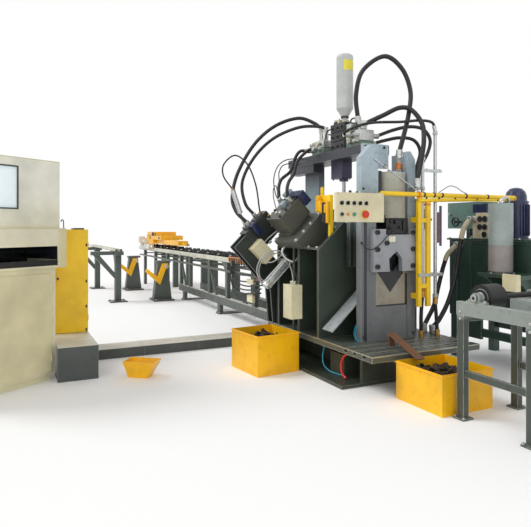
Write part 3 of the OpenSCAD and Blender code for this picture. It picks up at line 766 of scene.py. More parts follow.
TAN = Enamel("tan_block_enamel", "968f7f", worn="c9c6ba", grime="3d382f", edge=0.5, dirt=0.45)
TAN_BLACK = Enamel("tan_cylinder_enamel", "9c9a8a", worn="c9c6ba", edge=0.4, dirt=0.3,
                   second="0b0c0c", below=(9.0, 1.441), upper="b4b4a6", fades=(1.5, 1.85))
CHUTE_STEEL = Enamel("worn_chute_steel", "6f4a30", worn="a98a6a", grime="3a2416", edge=0.6,
                     dirt=0.5, roughness=0.55, second="9aa0a2", below=(0.8, 9.0))
VALVE_CREAM = Enamel("valve_cream_enamel", "cfc3a4", worn="ece6d2", edge=0.5, dirt=0.3,
                     slot="plate_grey")
VALVE_GREEN = Enamel("valve_green_enamel", "6d8272", worn="b9c6bb", edge=0.5, dirt=0.35,
                     slot="plate_grey")
OXIDE_RED = Enamel("oxide_red_primer", "6e3026", worn="a86a55", edge=0.5, dirt=0.4)
PURPLE = Enamel("purple_grey_enamel", "55506e", worn="8f8ba6", edge=0.4, slot="column_blue")
BLADE_HOLDER = Enamel("blade_holder_enamel", "9da0a6", worn="dadad6", grime="6f6a62", edge=0.7,
                      dirt=0.5)
BLACK_OXIDE = Enamel("black_oxide_steel", "1d1e21", worn="5f6366", grime="15130f", edge=0.5,
                     dirt=0.2, roughness=0.4, slot="black_steel")
BEAM_GREY = Enamel("beam_grey_enamel", "363841", worn="c3bfb4", edge=0.9, edge_mm=7,
                   slot="shear_grey")
COLUMN_BLUE = Enamel("column_blue_enamel", "7d949b", worn="c9d3d6", edge=0.5, dirt=0.35,
                     upper="413c48", fades=(1.72, 1.98))
SILVER = Enamel("accumulator_silver_paint", "bfc3c0", worn="e2e4e2", edge=0.3, dirt=0.2,
                roughness=0.36)
CREAM = Enamel("cream_box_enamel", "e2d9b4", worn="f4efd8", grime="9a8a5c", edge=0.35, dirt=0.22,
               slot="cream_paint")
FRAME_GREY = Enamel("infeed_grey_enamel", "4f5852", worn="bcbfae", edge=0.9, dirt=0.5,
                    floor_dirt=0.5, edge_mm=9)
# painted highlight for the light strips on the infeed rails
RAIL_HIGHLIGHT = Enamel("rail_painted_highlight_enamel", "c9c8b8", worn="eceade", edge=0.5, dirt=0.3,
                    slot="infeed_grey")
MOTOR_WHITE = Enamel("motor_white_enamel", "dcdcd4", worn="f2f2ec", edge=0.3, dirt=0.2,
                     slot="motor_white")
BENCH_GREY = Enamel("bench_grey_enamel", "454d47", worn="d9dcd2", edge=1.0, dirt=0.4, edge_mm=7,
                    upper="8d9590", fades=(0.7, 0.735))
TROUGH_GREY = Enamel("trough_grey_enamel", "464c4a", worn="c9cac0", edge=0.8, dirt=0.3,
                     slot="bench_grey")
DUSTY_COVER = Enamel("dusty_cover_enamel", "c6c2b4", worn="e9e7da", grime="8d8474", edge=0.6,
                     dirt=0.4, slot="bench_grey")
# the tank below 1.3 m keeps its own dark green; the box above is painted lighter, a painted
# highlight for the strong light on it
TANK_GREEN = Enamel("tank_green_enamel", "64857a", worn="b7c6c0", edge=0.8, dirt=0.3,
                    roughness=0.34, second="31493f", below=(9.0, 1.3), slot="tank_green")
VESSEL_GREY = Enamel("vessel_grey_enamel", "9daaa6", worn="cfd8d5", edge=0.3, dirt=0.2,
                     second="9c9492", below=(9.0, 1.188))
CONSOLE_WHITE = Enamel("console_white_enamel", "e4dfbd", worn="f8f6e8", grime="c2bb98", edge=0.4,
                       dirt=0.1, upper="ebeadc", fades=(1.1, 1.7))
CONSOLE_PANEL = Enamel("console_panel_enamel", "dbd3ab", worn="f4f0da", grime="b9ae86", edge=0.4,
                       dirt=0.15, slot="console_white")

# metals
BRIGHT_STEEL = MachinedSteel("ground_bright_steel", "c4c7c9", roughness=0.28, stain=0.15)
DIE_STEEL = MachinedSteel("dark_die_steel", "77797a", roughness=0.42, stain=0.5)
ZINC = MachinedSteel("zinc_plated_fitting", "c6c8c4", oil="7d7868", roughness=0.36, stain=0.25)
BRASS = MachinedSteel("brass_fitting", "c79a52", oil="6b4e22", roughness=0.32, stain=0.25)
ALUMINIUM = MachinedSteel("anodised_aluminium_tube", "cfd3d5", roughness=0.3, stain=0.1,
                          slot="aluminium_tube")
WORN_RIM = MachinedSteel("worn_deck_rim", "b9b5a2", oil="4a3c2a", roughness=0.42, stain=0.6)
DARK_SCRAP = MachinedSteel("oily_dark_scrap", "4d4238", oil="120f0c", roughness=0.55, stain=0.7,
                           slot="bin_yellow")

# rubber and plastic
HOSE = HoseRubber("hydraulic_hose_cover")
ROLLER = HoseRubber("roller_black_rubber", "141617", "4a4a46", 0.55)
CYAN_TUBE = MouldedPlastic("cyan_air_tube", "2fa6c4", 0.3, slot="hose_black")
RED_TUBE = MouldedPlastic("red_air_tube", "c8372a", 0.3, slot="hose_black")
BLACK_PLASTIC = MouldedPlastic("black_switch_plastic", "17181a", 0.34)
RED_BUTTON = MouldedPlastic("red_mushroom_plastic", "d0301f", 0.3)
GREEN_BUTTON = MouldedPlastic("green_button_plastic", "2f9b52", 0.3)
ORANGE_BUTTON = MouldedPlastic("orange_lamp_lens", "e67f2e", 0.25, slot="red_plastic")
GREY_TUBE = MouldedPlastic("grey_air_tube", "a9aba9", 0.35, slot="hose_black")
ORANGE_TUBE = MouldedPlastic("orange_cable_sheath", "c8813a", 0.45, slot="hose_black")
BLACK_CABLE = MouldedPlastic("black_cable_sheath", "1a1b1e", 0.45, slot="hose_black")
LIGHT_GLASS = MouldedPlastic("lit_screen_glass", "dbe6ea", 0.08, 0.35, slot="cream_paint")
BEZEL_GREY = MouldedPlastic("dark_screen_bezel", "33403d", 0.4)
YELLOW_STICKER = MouldedPlastic("plain_yellow_sticker", "e8dc3c", 0.4, slot="yellow_paint")
# painted shade for the keyboard drawer's recess
RECESS_SHADE = MouldedPlastic("painted_recess_shade", "20242a", 0.08)
KEY_CAP = MouldedPlastic("keyboard_key_plastic", "2c2e31", 0.45)
STICKER = MouldedPlastic("plain_cream_sticker", "efe9cf", 0.4, slot="cream_paint")


# --------------------------------------------------------------------- making pieces


def piece(name: str, finish: Finish, *shapes: Surface, body: str = "machine", slot: str = "",
          stands_for: Sequence[str] = ()) -> bpy.types.Object:
    """Makes an object from surfaces and lets it ride on a body.

    Points that agree to WELD_DIGITS places are one. A face whose neighbouring corners fall
    together there becomes a triangle, and one with less left than that is dropped.

    Args:
        name: The piece's name.
        finish: Its finish.
        shapes: Its surfaces, in place.
        body: The body that it moves with.
        slot: Not used.
        stands_for: Frame nodes that it replaces.

    Returns:
        The object.
    """
    shape = together(shapes)
    points, back = np.unique(np.round(shape.points, WELD_DIGITS), axis=0, return_inverse=True)
    faces = back.reshape(-1)[shape.faces]
    same = faces == np.roll(faces, -1, axis=1)
    count = same.sum(axis=1)
    quads, thin = faces[count == 0], faces[count == 1]
    keep = (same[count == 1].argmax(axis=1)[:, None] + np.arange(1, 4)[None]) % 4
    triangles = np.take_along_axis(thin, keep, axis=1)
    mesh = bpy.data.meshes.new(name)
    mesh.from_pydata(points.tolist(), [], quads.tolist() + triangles.tolist())
    mesh.update()
    mesh.polygons.foreach_set("use_smooth", np.ones(len(mesh.polygons), bool))
    mesh.set_sharp_from_angle(angle=SHARP_ANGLE)
    obj = bpy.data.objects.new(name, mesh)
    bpy.context.scene.collection.objects.link(obj)
    obj.data.materials.append(finish.material())
    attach(obj, body)
    if stands_for:
        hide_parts(*stands_for)
    LOG.info("%s: %d faces", name, len(mesh.polygons))
    return obj


def paint(finish: Finish, *nodes: str) -> None:
    """Gives frame nodes a finish.

    Args:
        finish: The finish.
        nodes: The nodes' names.
    """
    for node in nodes:
        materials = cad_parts[node].data.materials
        materials.clear()
        materials.append(finish.material())


@dataclass
class Hose:
    """A hydraulic hose of fixed length, bent between two fittings.

    Its radius is in metres and its points are in millimetres.
    """

    name: str
    radius: float
    points: list[tuple[float, float, float]]
    finish: Finish = HOSE

    def route(self) -> np.ndarray:
        """The smooth curve through its points, in metres."""
        return smooth_route(np.asarray(self.points) / 1000)

    def make(self) -> bpy.types.Object:
        """The hose as a curve with a round section.

        Returns:
            The object.
        """
        route = self.route()
        curve = bpy.data.curves.new(self.name, "CURVE")
        curve.dimensions = "3D"
        curve.bevel_depth = self.radius
        curve.bevel_resolution = 4
        curve.use_fill_caps = True
        spline = curve.splines.new("POLY")
        spline.points.add(len(route) - 1)
        spline.points.foreach_set("co", np.column_stack([route, np.ones(len(route))]).ravel())
        spline.use_smooth = True
        obj = bpy.data.objects.new(self.name, curve)
        bpy.context.scene.collection.objects.link(obj)
        curve.materials.append(self.finish.material())
        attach(obj, "machine")
        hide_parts("press_hoses")
        return obj

    def ends(self) -> list[tuple[np.ndarray, np.ndarray]]:
        """The hose's two ends.

        Returns:
            Each end's point and the direction from it into the hose.
        """
        route = self.route()
        return [(route[0], route[1] - route[0]), (route[-1], route[-2] - route[-1])]


# --------------------------------------------------------------------- sub-assemblies


HOSES = (
    Hose("hose_marking_loop", 0.019, [
        (-500, -25, 2370), (-500, -35, 2430), (-560, -90, 2500), (-680, -220, 2560),
        (-830, -430, 2480), (-900, -650, 2270), (-910, -840, 1950), (-850, -930, 1680),
        (-750, -930, 1530), (-670, -890, 1452), (-650, -850, 1412), (-650, -808, 1370)]),
    Hose("hose_marking_return", 0.017, [
        (-400, -25, 2370), (-400, -35, 2410), (-450, -100, 2440), (-600, -260, 2440),
        (-760, -480, 2330), (-830, -680, 2120), (-830, -820, 1850), (-760, -820, 1620),
        (-690, -758, 1504), (-690, -716, 1462)]),
    Hose("hose_near_punch_a", 0.017, [
        (-520, -160, 2180), (-522, -190, 2180), (-570, -250, 2180), (-590, -300, 2110),
        (-570, -370, 1960), (-490, -520, 1860), (-400, -600, 1760), (-345, -621, 1649),
        (-345, -586, 1614)]),
    Hose("hose_near_punch_b", 0.017, [
        (-370, -160, 2180), (-371, -190, 2180), (-420, -240, 2170), (-490, -330, 2060),
        (-440, -400, 1920), (-290, -540, 1820), (-180, -620, 1730), (-155, -621, 1649),
        (-155, -586, 1614)]),
    Hose("hose_air_loop", 0.008, [
        (-640, -674, 1504), (-640, -702, 1532), (-655, -740, 1800), (-690, -820, 2020),
        (-700, -960, 2110), (-700, -1085, 2010), (-700, -1090, 1890), (-700, -1005, 1775),
        (-700, -985, 1745)]),
    Hose("hose_shear_loop", 0.022, [
        (190, -25, 2360), (190, -40, 2440), (190, -58, 2650), (212, 6, 2882), (300, 196, 3021),
        (400, 326, 2893), (460, 381, 2668), (490, 337, 2450), (500, 278, 2261), (505, 215, 2080),
        (505, 200, 2005)]),
    Hose("hose_boom_arc", 0.022, [
        (270, -25, 2302), (278, -10, 2350), (360, 136, 2430), (450, 260, 2496), (545, 325, 2460),
        (640, 365, 2318), (695, 336, 2145), (706, 291, 1950), (706, 253, 1800), (706, 249, 1722)]),
    Hose("hose_far_pipe", 0.013, [
        (190, -160, 2240), (194, -194, 2243), (262, -212, 2272), (372, -40, 2338),
        (500, 230, 2350), (590, 380, 2360), (645, 480, 2340), (660, 505, 2262)]),
    Hose("hose_near_drop", 0.017, [
        (660, 352, 770), (659, 349, 700), (654, 341, 560), (648, 345, 430), (648, 346, 340)]),
    Hose("hose_far_drop", 0.017, [
        (660, 505, 700), (660, 506, 650), (666, 515, 500), (670, 520, 390), (670, 520, 340)]),
    Hose("hose_power_pack_a", 0.022, [
        (343, 1150, 1177), (343, 1095, 1172), (295, 1030, 1090), (268, 985, 950), (290, 900, 760),
        (350, 780, 570), (410, 640, 450), (436, 575, 390), (440, 570, 340)]),
    Hose("hose_power_pack_b", 0.022, [
        (519, 1150, 1437), (519, 1095, 1432), (500, 1035, 1350), (489, 1000, 1220),
        (505, 920, 900), (530, 800, 640), (545, 670, 470), (550, 580, 395), (550, 575, 340)]),
    Hose("hose_pair_low", 0.017, [
        (250, 60, 2170), (251, 110, 2175), (256, 240, 2212), (285, 400, 2245), (325, 540, 2225),
        (348, 600, 2120), (352, 560, 1980), (352, 480, 1820), (352, 430, 1620), (352, 425, 1400),
        (352, 425, 1290)]),
    Hose("hose_pair_high", 0.017, [
        (300, 60, 2235), (301, 110, 2240), (308, 300, 2310), (345, 470, 2350), (380, 610, 2330),
        (402, 680, 2230), (405, 650, 2100), (405, 560, 1960), (405, 470, 1800), (405, 430, 1600),
        (405, 425, 1400), (405, 425, 1290)]))


@dataclass
class HoseSet:
    """The press's hydraulic hoses with their crimped ferrules and union nuts.

    Hoses whose names end as brass says have brass ends, and the others steel ones.
    """

    brass: tuple[str, ...] = ("drop", "air_loop")
    hoses: tuple[Hose, ...] = HOSES

    def make(self) -> None:
        """All hoses, then one piece of steel fittings and one of brass ones."""
        steel, brass = [], []
        for hose in self.hoses:
            hose.make()
            fittings = brass if hose.name.endswith(self.brass) else steel
            fittings.extend(ferrule(hose.radius).aimed(inward).moved(point)
                            for point, inward in hose.ends())
        piece("hose_ferrules", ZINC, *steel)
        piece("hose_brass_ends", BRASS, *brass)


@dataclass
class Press:
    """The punching press: base, ribs, slanted units and marking head.

    Bolt and nut are radii of heads, and cap and flange are distances up a stroke, all in
    metres. The heights of table and deck and the (y, z) of the ribs' bolts are in
    millimetres.
    """

    near: Unit = Unit(-0.250, Side.NEAR)
    far: Unit = Unit(0.105, Side.FAR)
    marking: Unit = Unit(-0.680, Side.NEAR)
    bolt: float = 0.014
    nut: float = 0.015
    cap: float = 0.9
    flange: float = 0.68
    table: float = lowest("valve_bracket", Z)
    deck: float = highest("deck_plate", Z)
    rib_bolts: tuple[Pair, ...] = ((-700, 1050), (-560, 820), (-440, 560), (-440, 420))

    def dress(self) -> None:
        """Finishes of the frame nodes."""
        paint(BASE_GREEN, "base_frame")
        paint(DECK_GREEN, "deck_plate")
        paint(HOUSING_GREEN, "punch_housing")
        paint(UNIT_GREY, "punch_body_near", "punch_body_far")
        paint(MARKING_GREEN, "marking_unit")
        paint(BRIGHT_STEEL, "punch_ram_near", "punch_ram_far", "marking_ram", "hold_down_rod")
        paint(DIE_STEEL, "punch_dies")
        paint(CYLINDER_VIOLET, "hold_down_cylinder")
        paint(YELLOW, "valve_bracket")
        paint(CREAM, "junction_boxes")
        paint(ALUMINIUM, "air_cylinders")

    def build(self) -> None:
        """Everything added to the press."""
        self.fasteners()
        self.near_unit()
        self.cylinder()
        self.cables()
        self.boxes()
        self.casting()

    def fasteners(self) -> None:
        """Cap screws and flange nuts of the slanted units, table nuts, hold-down screws."""
        dark, plated = [], []
        for unit, reach in ((self.near, (-0.132, 0.288)), (self.far, (-0.288, 0.105))):
            up, _ = unit.axes()
            dark.append(copies(cap_screw(self.bolt).aimed(up),
                               [unit.at(dx, across, self.cap) for dx in (-0.12, 0.115)
                                for across in (-0.245, -0.15, 0.0)]))
            plated.append(copies(hex_nut(self.nut).aimed(up),
                                 [unit.at(dx, across, self.flange) for dx in reach
                                  for across in (-0.345, -0.23, -0.12, 0.01)]))
        plated.append(heads([(x, -515, self.table) for x in (-470, -300, -120, 60, 215)]
                            + [(x, y, self.table) for x in (-470, -120, 215) for y in (400, 570)],
                            UP, 14))
        dark.append(heads([(x, y, 1865) for x in (-312, -138) for y in (8, 92)], DOWN, 9,
                          Head.SOCKET))
        dark.append(heads([(-745, y, z) for y, z in self.rib_bolts], BACKWARD, 13))
        dark.append(heads([(-605, y, z) for y, z in self.rib_bolts], ONWARD, 13))
        dark.append(heads([(x, -560, 315) for x in (-580, -520)], FRONT, 10))
        piece("press_dark_screws", BLACK_OXIDE, *dark)
        piece("press_plated_nuts", ZINC, *plated)

    def near_unit(self) -> None:
        """The valve, its navy coil block and the fittings on the near unit."""
        unit = self.near
        up, over = unit.axes()
        piece("near_valve_coil", NAVY,
              unit.block((-0.040, 0.170), (0.020, 0.105), (0.790, 0.930), 0.006))
        piece("near_valve_body", SHEAR_GREY,
              unit.block((-0.130, -0.050), (0.020, 0.110), (0.780, 0.960), 0.005),
              unit.block((-0.045, 0.035), (-0.120, -0.050), (0.900, 0.945), 0.004))
        piece("near_port_block", VALVE_CREAM,
              unit.block((-0.215, -0.150), (-0.230, -0.150), (0.740, 0.850), 0.005),
              unit.block((-0.200, -0.165), (-0.150, -0.105), (0.770, 0.815), 0.004))
        elbow = [unit.at(dx, across, along) * 1000 for dx, across, along in (
            (-0.02, -0.37, 0.60), (-0.02, -0.41, 0.60), (-0.01, -0.44, 0.57), (0.01, -0.45, 0.52),
            (0.04, -0.44, 0.47), (0.06, -0.41, 0.45), (0.06, -0.37, 0.45))]
        piece("near_unit_ports", BRASS,
              port(0.016, 0.020, 0.012, 0.05).aimed(up).moved(unit.at(-0.198, -0.205, 0.85)),
              port(0.016, 0.020, 0.012, 0.05).aimed(up).moved(unit.at(-0.165, -0.175, 0.85)),
              port(0.013, 0.016, 0.009, 0.04).aimed(-over).moved(unit.at(-0.18, -0.23, 0.8)))
        piece("near_unit_bypass", ZINC, wire(elbow, 13, 14))
        # gauge port and bleed screws on the cap's face
        piece("near_cap_plugs", ZINC,
              copies(hex_nut(0.017).aimed(up),
                     [unit.at(dx, -0.19, self.cap) for dx in (-0.03, 0.05)]))

    def cylinder(self) -> None:
        """End caps, tie rods and ports of the slanted air cylinder."""
        top, low = np.array([-0.300, -0.552, 1.010]), np.array([-0.300, -0.780, 0.790])
        long = float(np.linalg.norm(low - top))
        axis = (low - top) / long
        cap, cap_half, tube_half, tie = 0.030, 0.041, 0.036, 0.033
        square = soft_block((-cap_half, -cap_half, 0), (cap_half, cap_half, cap), 0.004)
        body = soft_block((-tube_half, -tube_half, cap), (tube_half, tube_half, long - cap), 0.006)
        stud = revolved([(0, -0.008), (0.006, -0.008), (0.006, long + 0.012), (0, long + 0.012)],
                        10)
        corners = [(dx, dy) for dx in (-tie, tie) for dy in (-tie, tie)]
        ties = [stud.moved((dx, dy, 0)) for dx, dy in corners]
        nuts = [hex_nut(0.008).moved((dx, dy, long)) for dx, dy in corners]
        piece("feed_cylinder_barrel", ALUMINIUM, body.aimed(axis).moved(top))
        piece("feed_cylinder_caps", ZINC,
              *(part.aimed(axis).moved(top)
                for part in (square, square.moved((0, 0, long - cap)), *ties, *nuts)))

    def cables(self) -> None:
        """Clipped air tubes and cables round the units and in the base."""
        piece("grey_air_tubes", GREY_TUBE,
              wire([(-318, -795, 800), (-345, -840, 830), (-372, -860, 930), (-366, -820, 1040),
                    (-350, -730, 1110), (-330, -640, 1120), (-310, -580, 1090)], 7),
              wire([(-335, -780, 810), (-385, -815, 850), (-404, -820, 940), (-398, -780, 1030),
                    (-380, -700, 1085), (-360, -620, 1090), (-340, -570, 1060)], 6),
              wire([(-300, -790, 1010), (-270, -745, 1010), (-255, -700, 1035),
                    (-262, -650, 1070), (-280, -600, 1085), (-300, -565, 1070)], 6),
              wire([(-10, -645, 836), (-14, -648, 880), (-45, -640, 930), (-100, -620, 955),
                    (-160, -600, 985), (-215, -570, 1010)], 5),
              wire([(-542, -700, 1195), (-520, -640, 1260), (-480, -560, 1330),
                    (-440, -520, 1380)], 7))
        piece("black_signal_cables", BLACK_CABLE,
              wire([(-560, -500, 1560), (-640, -480, 1640), (-740, -470, 1740),
                    (-790, -460, 1900), (-800, -400, 2040), (-760, -300, 2110),
                    (-650, -160, 2110)], 6),
              wire([(-440, -560, 1640), (-500, -540, 1800), (-590, -500, 1900),
                    (-720, -430, 1960), (-820, -330, 2050), (-830, -200, 2080),
                    (-780, -152, 2060)], 6),
              wire([(-340, -600, 1590), (-420, -590, 1660), (-500, -570, 1760),
                    (-590, -540, 1800), (-680, -520, 1770), (-700, -510, 1690),
                    (-640, -520, 1600), (-560, -540, 1540)], 5),
              wire([(-560, -700, 1020), (-590, -690, 960), (-640, -640, 880), (-650, -600, 760),
                    (-640, -560, 600), (-600, -548, 430), (-590, -546, 345)], 6),
              wire([(-80, -546, 740), (-120, -540, 840), (-200, -530, 950), (-330, -535, 960),
                    (-470, -540, 900), (-520, -545, 700), (-530, -550, 480),
                    (-530, -552, 345)], 7))
        piece("cyan_air_tubes", CYAN_TUBE,
              wire([(270, -440, 288), (238, -450, 240), (218, -455, 150), (240, -455, 75),
                    (330, -450, 42), (440, -440, 40), (540, -430, 44)], 6),
              wire([(530, -300, 480), (506, -300, 430), (502, -300, 390), (528, -300, 352),
                    (560, -300, 342)], 5),
              wire([(545, -300, 470), (524, -300, 420), (530, -302, 370), (575, -302, 342)], 5))
        piece("red_air_hose", RED_TUBE,
              wire([(640, -450, 262), (590, -458, 240), (548, -462, 180), (538, -462, 115),
                    (556, -460, 66), (600, -455, 42)], 12, 14))

    def boxes(self) -> None:
        """Lids, glands and screws of the junction boxes, and the posts beside them."""
        tilted = solid((-56, -78, -114), (56, -68, 114), 4).tipped(45)
        piece("junction_box_lids", CREAM,
              solid((-93, -709, 487), (73, -699, 813), 4),
              solid((-34, -668, 836), (14, -622, 842), 2),
              tilted.moved((-0.5425, -0.720, 1.110)))
        piece("junction_box_glands", ZINC,
              rod((-10, -645, 812), (-10, -645, 846), 19),
              rod((-45, -645, 812), (-45, -645, 834), 12),
              rod((25, -645, 812), (25, -645, 834), 12),
              rod((-542, -640, 1190), (-542, -615, 1215), 14))
        piece("junction_box_screws", ZINC,
              heads([(x, -709, z) for x in (-80, 60) for z in (500, 800)], FRONT, 5, Head.SOCKET))
        piece("valve_post", BLACK_OXIDE, solid((190, -400, self.table), (226, -368, 1560), 3))
        piece("front_posts", HOUSING_GREEN,
              solid((-190, -552, self.deck + 2), (-160, -536, 1148), 3),
              solid((-505, -556, self.deck + 2), (-475, -540, 985), 3))
        piece("bright_clips", ZINC,
              rod((-515, -205, 868), (-500, -190, 905), 9),
              rod((-555, -205, 825), (-535, -200, 800), 8),
              rod((-555, -205, 825), (-545, -200, 850), 8))

    def casting(self) -> None:
        """The yellow valve casting behind the pendant, and the marking unit's valves."""
        piece("yellow_valve_casting", DEEP_YELLOW,
              solid((62, -444, 1505), (150, -402, 1612), 10),
              solid((128, -440, 1490), (226, -402, 1575), 10),
              rod((96, -402, 1632), (96, -446, 1632), 30, 24),
              solid((232, -436, 1395), (262, -402, 1600), 8))
        piece("valve_barrel", BLACK_OXIDE, rod((196, -424, 1400), (196, -424, 1590), 24, 24))
        unit = self.marking
        piece("marking_valve_blocks", BLACK_OXIDE,
              unit.block((-0.070, 0.075), (-0.425, -0.330), (0.840, 0.925), 0.006),
              unit.block((-0.060, 0.060), (-0.300, -0.195), (0.840, 0.912), 0.006))
        piece("marking_valve_coil", NAVY,
              unit.block((0.080, 0.140), (-0.405, -0.335), (0.790, 0.930), 0.010))


@dataclass
class Shear:
    """The shear at the line's end, with the deck's marks and the scrap in the bins.

    Places are in millimetres, but for the bins', which are in metres: corner, size, height
    of the heap and turn in degrees.
    """

    face: float = highest("shear_frame", X)
    plate: float = highest("blade_plate", X)
    deck: float = highest("deck_plate", Z)
    cylinder: Pair = (520, 85)
    union: Pair = (505, 200)
    bins: tuple[tuple[Vec, Pair, float, float], ...] = (
        ((1.118, -0.330, 0), (0.500, 0.500), 0.285, 0.0),
        ((-0.370, -1.130, 0), (0.490, 0.455), 0.345, 6.0))

    def dress(self) -> None:
        """Finishes of the frame nodes."""
        paint(SHEAR_GREY, "shear_frame")
        paint(TAN, "shear_lower_block")
        paint(TAN_BLACK, "shear_cylinder")
        paint(BLACK_OXIDE, "shear_ram", "lower_blade", "blade_bolts")
        paint(BLADE_HOLDER, "blade_plate")
        paint(CHUTE_STEEL, "slug_chute")

    def build(self) -> None:
        """A black strip, fittings, blade sensor, deck marks, strips and scrap."""
        self.fittings()
        self.sensor()
        self.deck_marks()
        self.strips()
        self.scrap()

    def fittings(self) -> None:
        """A black strip down the cylinder's left side and across its top, the cylinder's nuts and
        union, the frame's screws and the brace.
        """
        # a black strip over the cylinder's left side and across its top
        piece("shear_guide_bar", BLACK_OXIDE,
              solid((559.4, -107.8, 1440.2), (600.8, -69.2, 1865.8), 3),
              solid((559.4, -107.8, 1440.2), (600.8, 0.6, 1470.6), 3))
        piece("shear_cylinder_fitting", ZINC,
              rod((*self.union, 1858), (*self.union, 1900), 27, 6),
              rod((*self.union, 1990), (*self.union, 2010), 26, 6),
              ring((*self.cylinder, 1855), UP, 60, 138, 6))
        piece("shear_union", ORANGE_BUTTON, rod((*self.union, 1900), (*self.union, 1962), 23, 24),
              slot="bright_steel")
        piece("shear_frame_screws", BLACK_OXIDE,
              heads(bolt_circle((*self.cylinder, 1861), 118, np.arange(0, 6.2, math.pi / 4)), UP,
                    9, Head.SOCKET),
              heads([(470, y, z) for y in (-150, 60) for z in (1930, 2100)], ONWARD, 11),
              heads([(self.face, y, z) for y in (-270, 290) for z in (380, 1700)], ONWARD, 9))
        piece("sensor_brace", BRIGHT_STEEL,
              rod((608, -140, 1960), (700, 235, 1700), 6, 12),
              rod((600, -146, 1964), (616, -146, 1964), 12),
              rod((700, 240, 1690), (700, 240, 1712), 12))

    def sensor(self) -> None:
        """The plain sticker on the blade plate, and the sensor with its cable beside it."""
        piece("blade_sticker", STICKER,
              solid((self.plate - 0.4, -25, 1225), (self.plate + 0.8, 45, 1275), 0.4),
              body="shear_head")
        cable = wire([(622, 8, 1372), (640, 6, 1345), (664, 4, 1318), (672, -14, 1300),
                      (674, -60, 1282), (676, -110, 1236), (676, -165, 1191), (674, -210, 1168),
                      (672, -241, 1160), (664, -276, 1168), (646, -296, 1190), (606, -292, 1216)],
                     5)
        brackets = [solid((619, y, z), (632, y + 26, high), 3) for y, z, high in (
            (8, 1395, 1432), (-8, 1340, 1372), (150, 1330, 1420), (176, 1390, 1424))]
        piece("blade_sensor", BLACK_CABLE, cable, *brackets,
              rod((672, 2, 1300), (672, -22, 1316), 11, 12),
              rod((600, -292, 1216), (612, -292, 1216), 13, 12),
              rod((618, 70, 1404), (640, 70, 1404), 17, 16),
              rod((618, 118, 1356), (636, 118, 1356), 13, 16))

    def deck_marks(self) -> None:
        """Black sheets of painted shade in the deck's slots and channels, and the rims worn bright
        along them.
        """
        top = self.deck
        # black sheets in the slots and along the channels' tops: painted shade where the slots fall
        # dark
        slots = [solid((x - 11, -549, 308.2), (x + 37, 599, 310), 0.5) for x in (720, 850, 980)]
        slots += [solid((x, -470, top - 0.2), (x + 34, 560, top + 0.5), 0.3)
                  for x in (763, 893, 1024)]
        piece("deck_slot_dirt", BLACK_OXIDE, *slots)
        rims = [solid((x, -549.5, top - 0.2), (x + 8, 598, top + 0.7), 0.3)
                for x in (711, 747, 841, 877, 971, 1007)]
        piece("deck_worn_rims", WORN_RIM, *rims,
              solid((-749, -550.5, 332), (1098, -549.6, top + 0.5), 0.3),
              solid((1099.6, -549, 331), (1100.5, 598, top + 0.5), 0.3))

    def strips(self) -> None:
        """Black strips of painted shadow under the blade's lower block and painted shade in the
        gaps beside it, and a dark band of painted shade down the frame's edge.
        """
        back, front = self.face - 3, self.face + 0.4
        # painted shadow under the lower block's ledge, and painted shade in the gaps at its right
        # side
        piece("shear_keeper_strips", BLACK_OXIDE,
              solid((back, -131, 643), (front, 221, 657), 1),
              solid((back, 196, 650), (front, 221, 935), 1),
              solid((back, 216, self.deck + 1), (front, 222, 644), 1))
        # a dark band of painted shade beside the frame's lit left edge
        piece("shear_edge_groove", BEAM_GREY,
              solid((back, -268, self.deck + 1), (front, -230, 1640), 1))

    def scrap(self) -> None:
        """Punched slugs and cut ends heaped in the two large bins.

        Each heap is a dome z = top (1 - 0.25 r), with r the distance from its middle in
        half widths, closed by a floor and a rim, with pieces laid at random on it.
        """
        rng = np.random.default_rng(7)
        coin = revolved([(0, 0), (0.011, 0), (0.012, 0.001), (0.012, 0.007), (0.011, 0.008),
                         (0, 0.008)], 12)
        end = soft_block((-0.04, -0.016, -0.004), (0.05, 0.016, 0.004), 0.001, 1)
        count, across, slope, floor_z = 230, 17, 0.25, 0.012
        heap = []
        for corner, size, top, turn in self.bins:
            mid = np.array(size) / 2
            half = mid - 0.008
            pile = []
            for k in range(count):
                shape, reach = (coin, 0.88) if k % 5 else (end, 0.74)
                xy = mid + half * rng.uniform(-reach, reach, 2)
                fall = 1 - slope * float(np.linalg.norm((xy - mid) / half))
                axis = rng.normal(size=3) * (0.5, 0.5, 1) + (0, 0, 0.6)
                pile.append(shape.aimed(axis, float(rng.uniform(0, 360))).moved(
                    (*xy, top * fall + rng.uniform(-0.01, 0.01))))
            line = np.linspace(-1, 1, across)
            x, y = np.meshgrid(line, line, indexing="ij")
            z = top * (1 - slope * np.sqrt(x * x + y * y)) - 0.004 + rng.uniform(0, 0.006, x.shape)
            dome = np.stack([mid[0] + half[0] * x, mid[1] + half[1] * y, z], -1)
            rim = np.concatenate([dome[0], dome[1:, -1], dome[-1, -2::-1], dome[-2:0:-1, 0]])
            floor, base = dome.copy(), rim.copy()
            floor[..., 2] = base[:, 2] = floor_z
            cells = grid_faces(across, across, False)
            pile.append(Surface(dome.reshape(-1, 3), cells))
            pile.append(Surface(floor.reshape(-1, 3), cells[:, ::-1]))
            pile.append(Surface(np.concatenate([base, rim]), grid_faces(2, len(rim), True)))
            heap.append(together(pile).turned(turn).moved(corner))
        piece("scrap_heap", DARK_SCRAP, *heap)


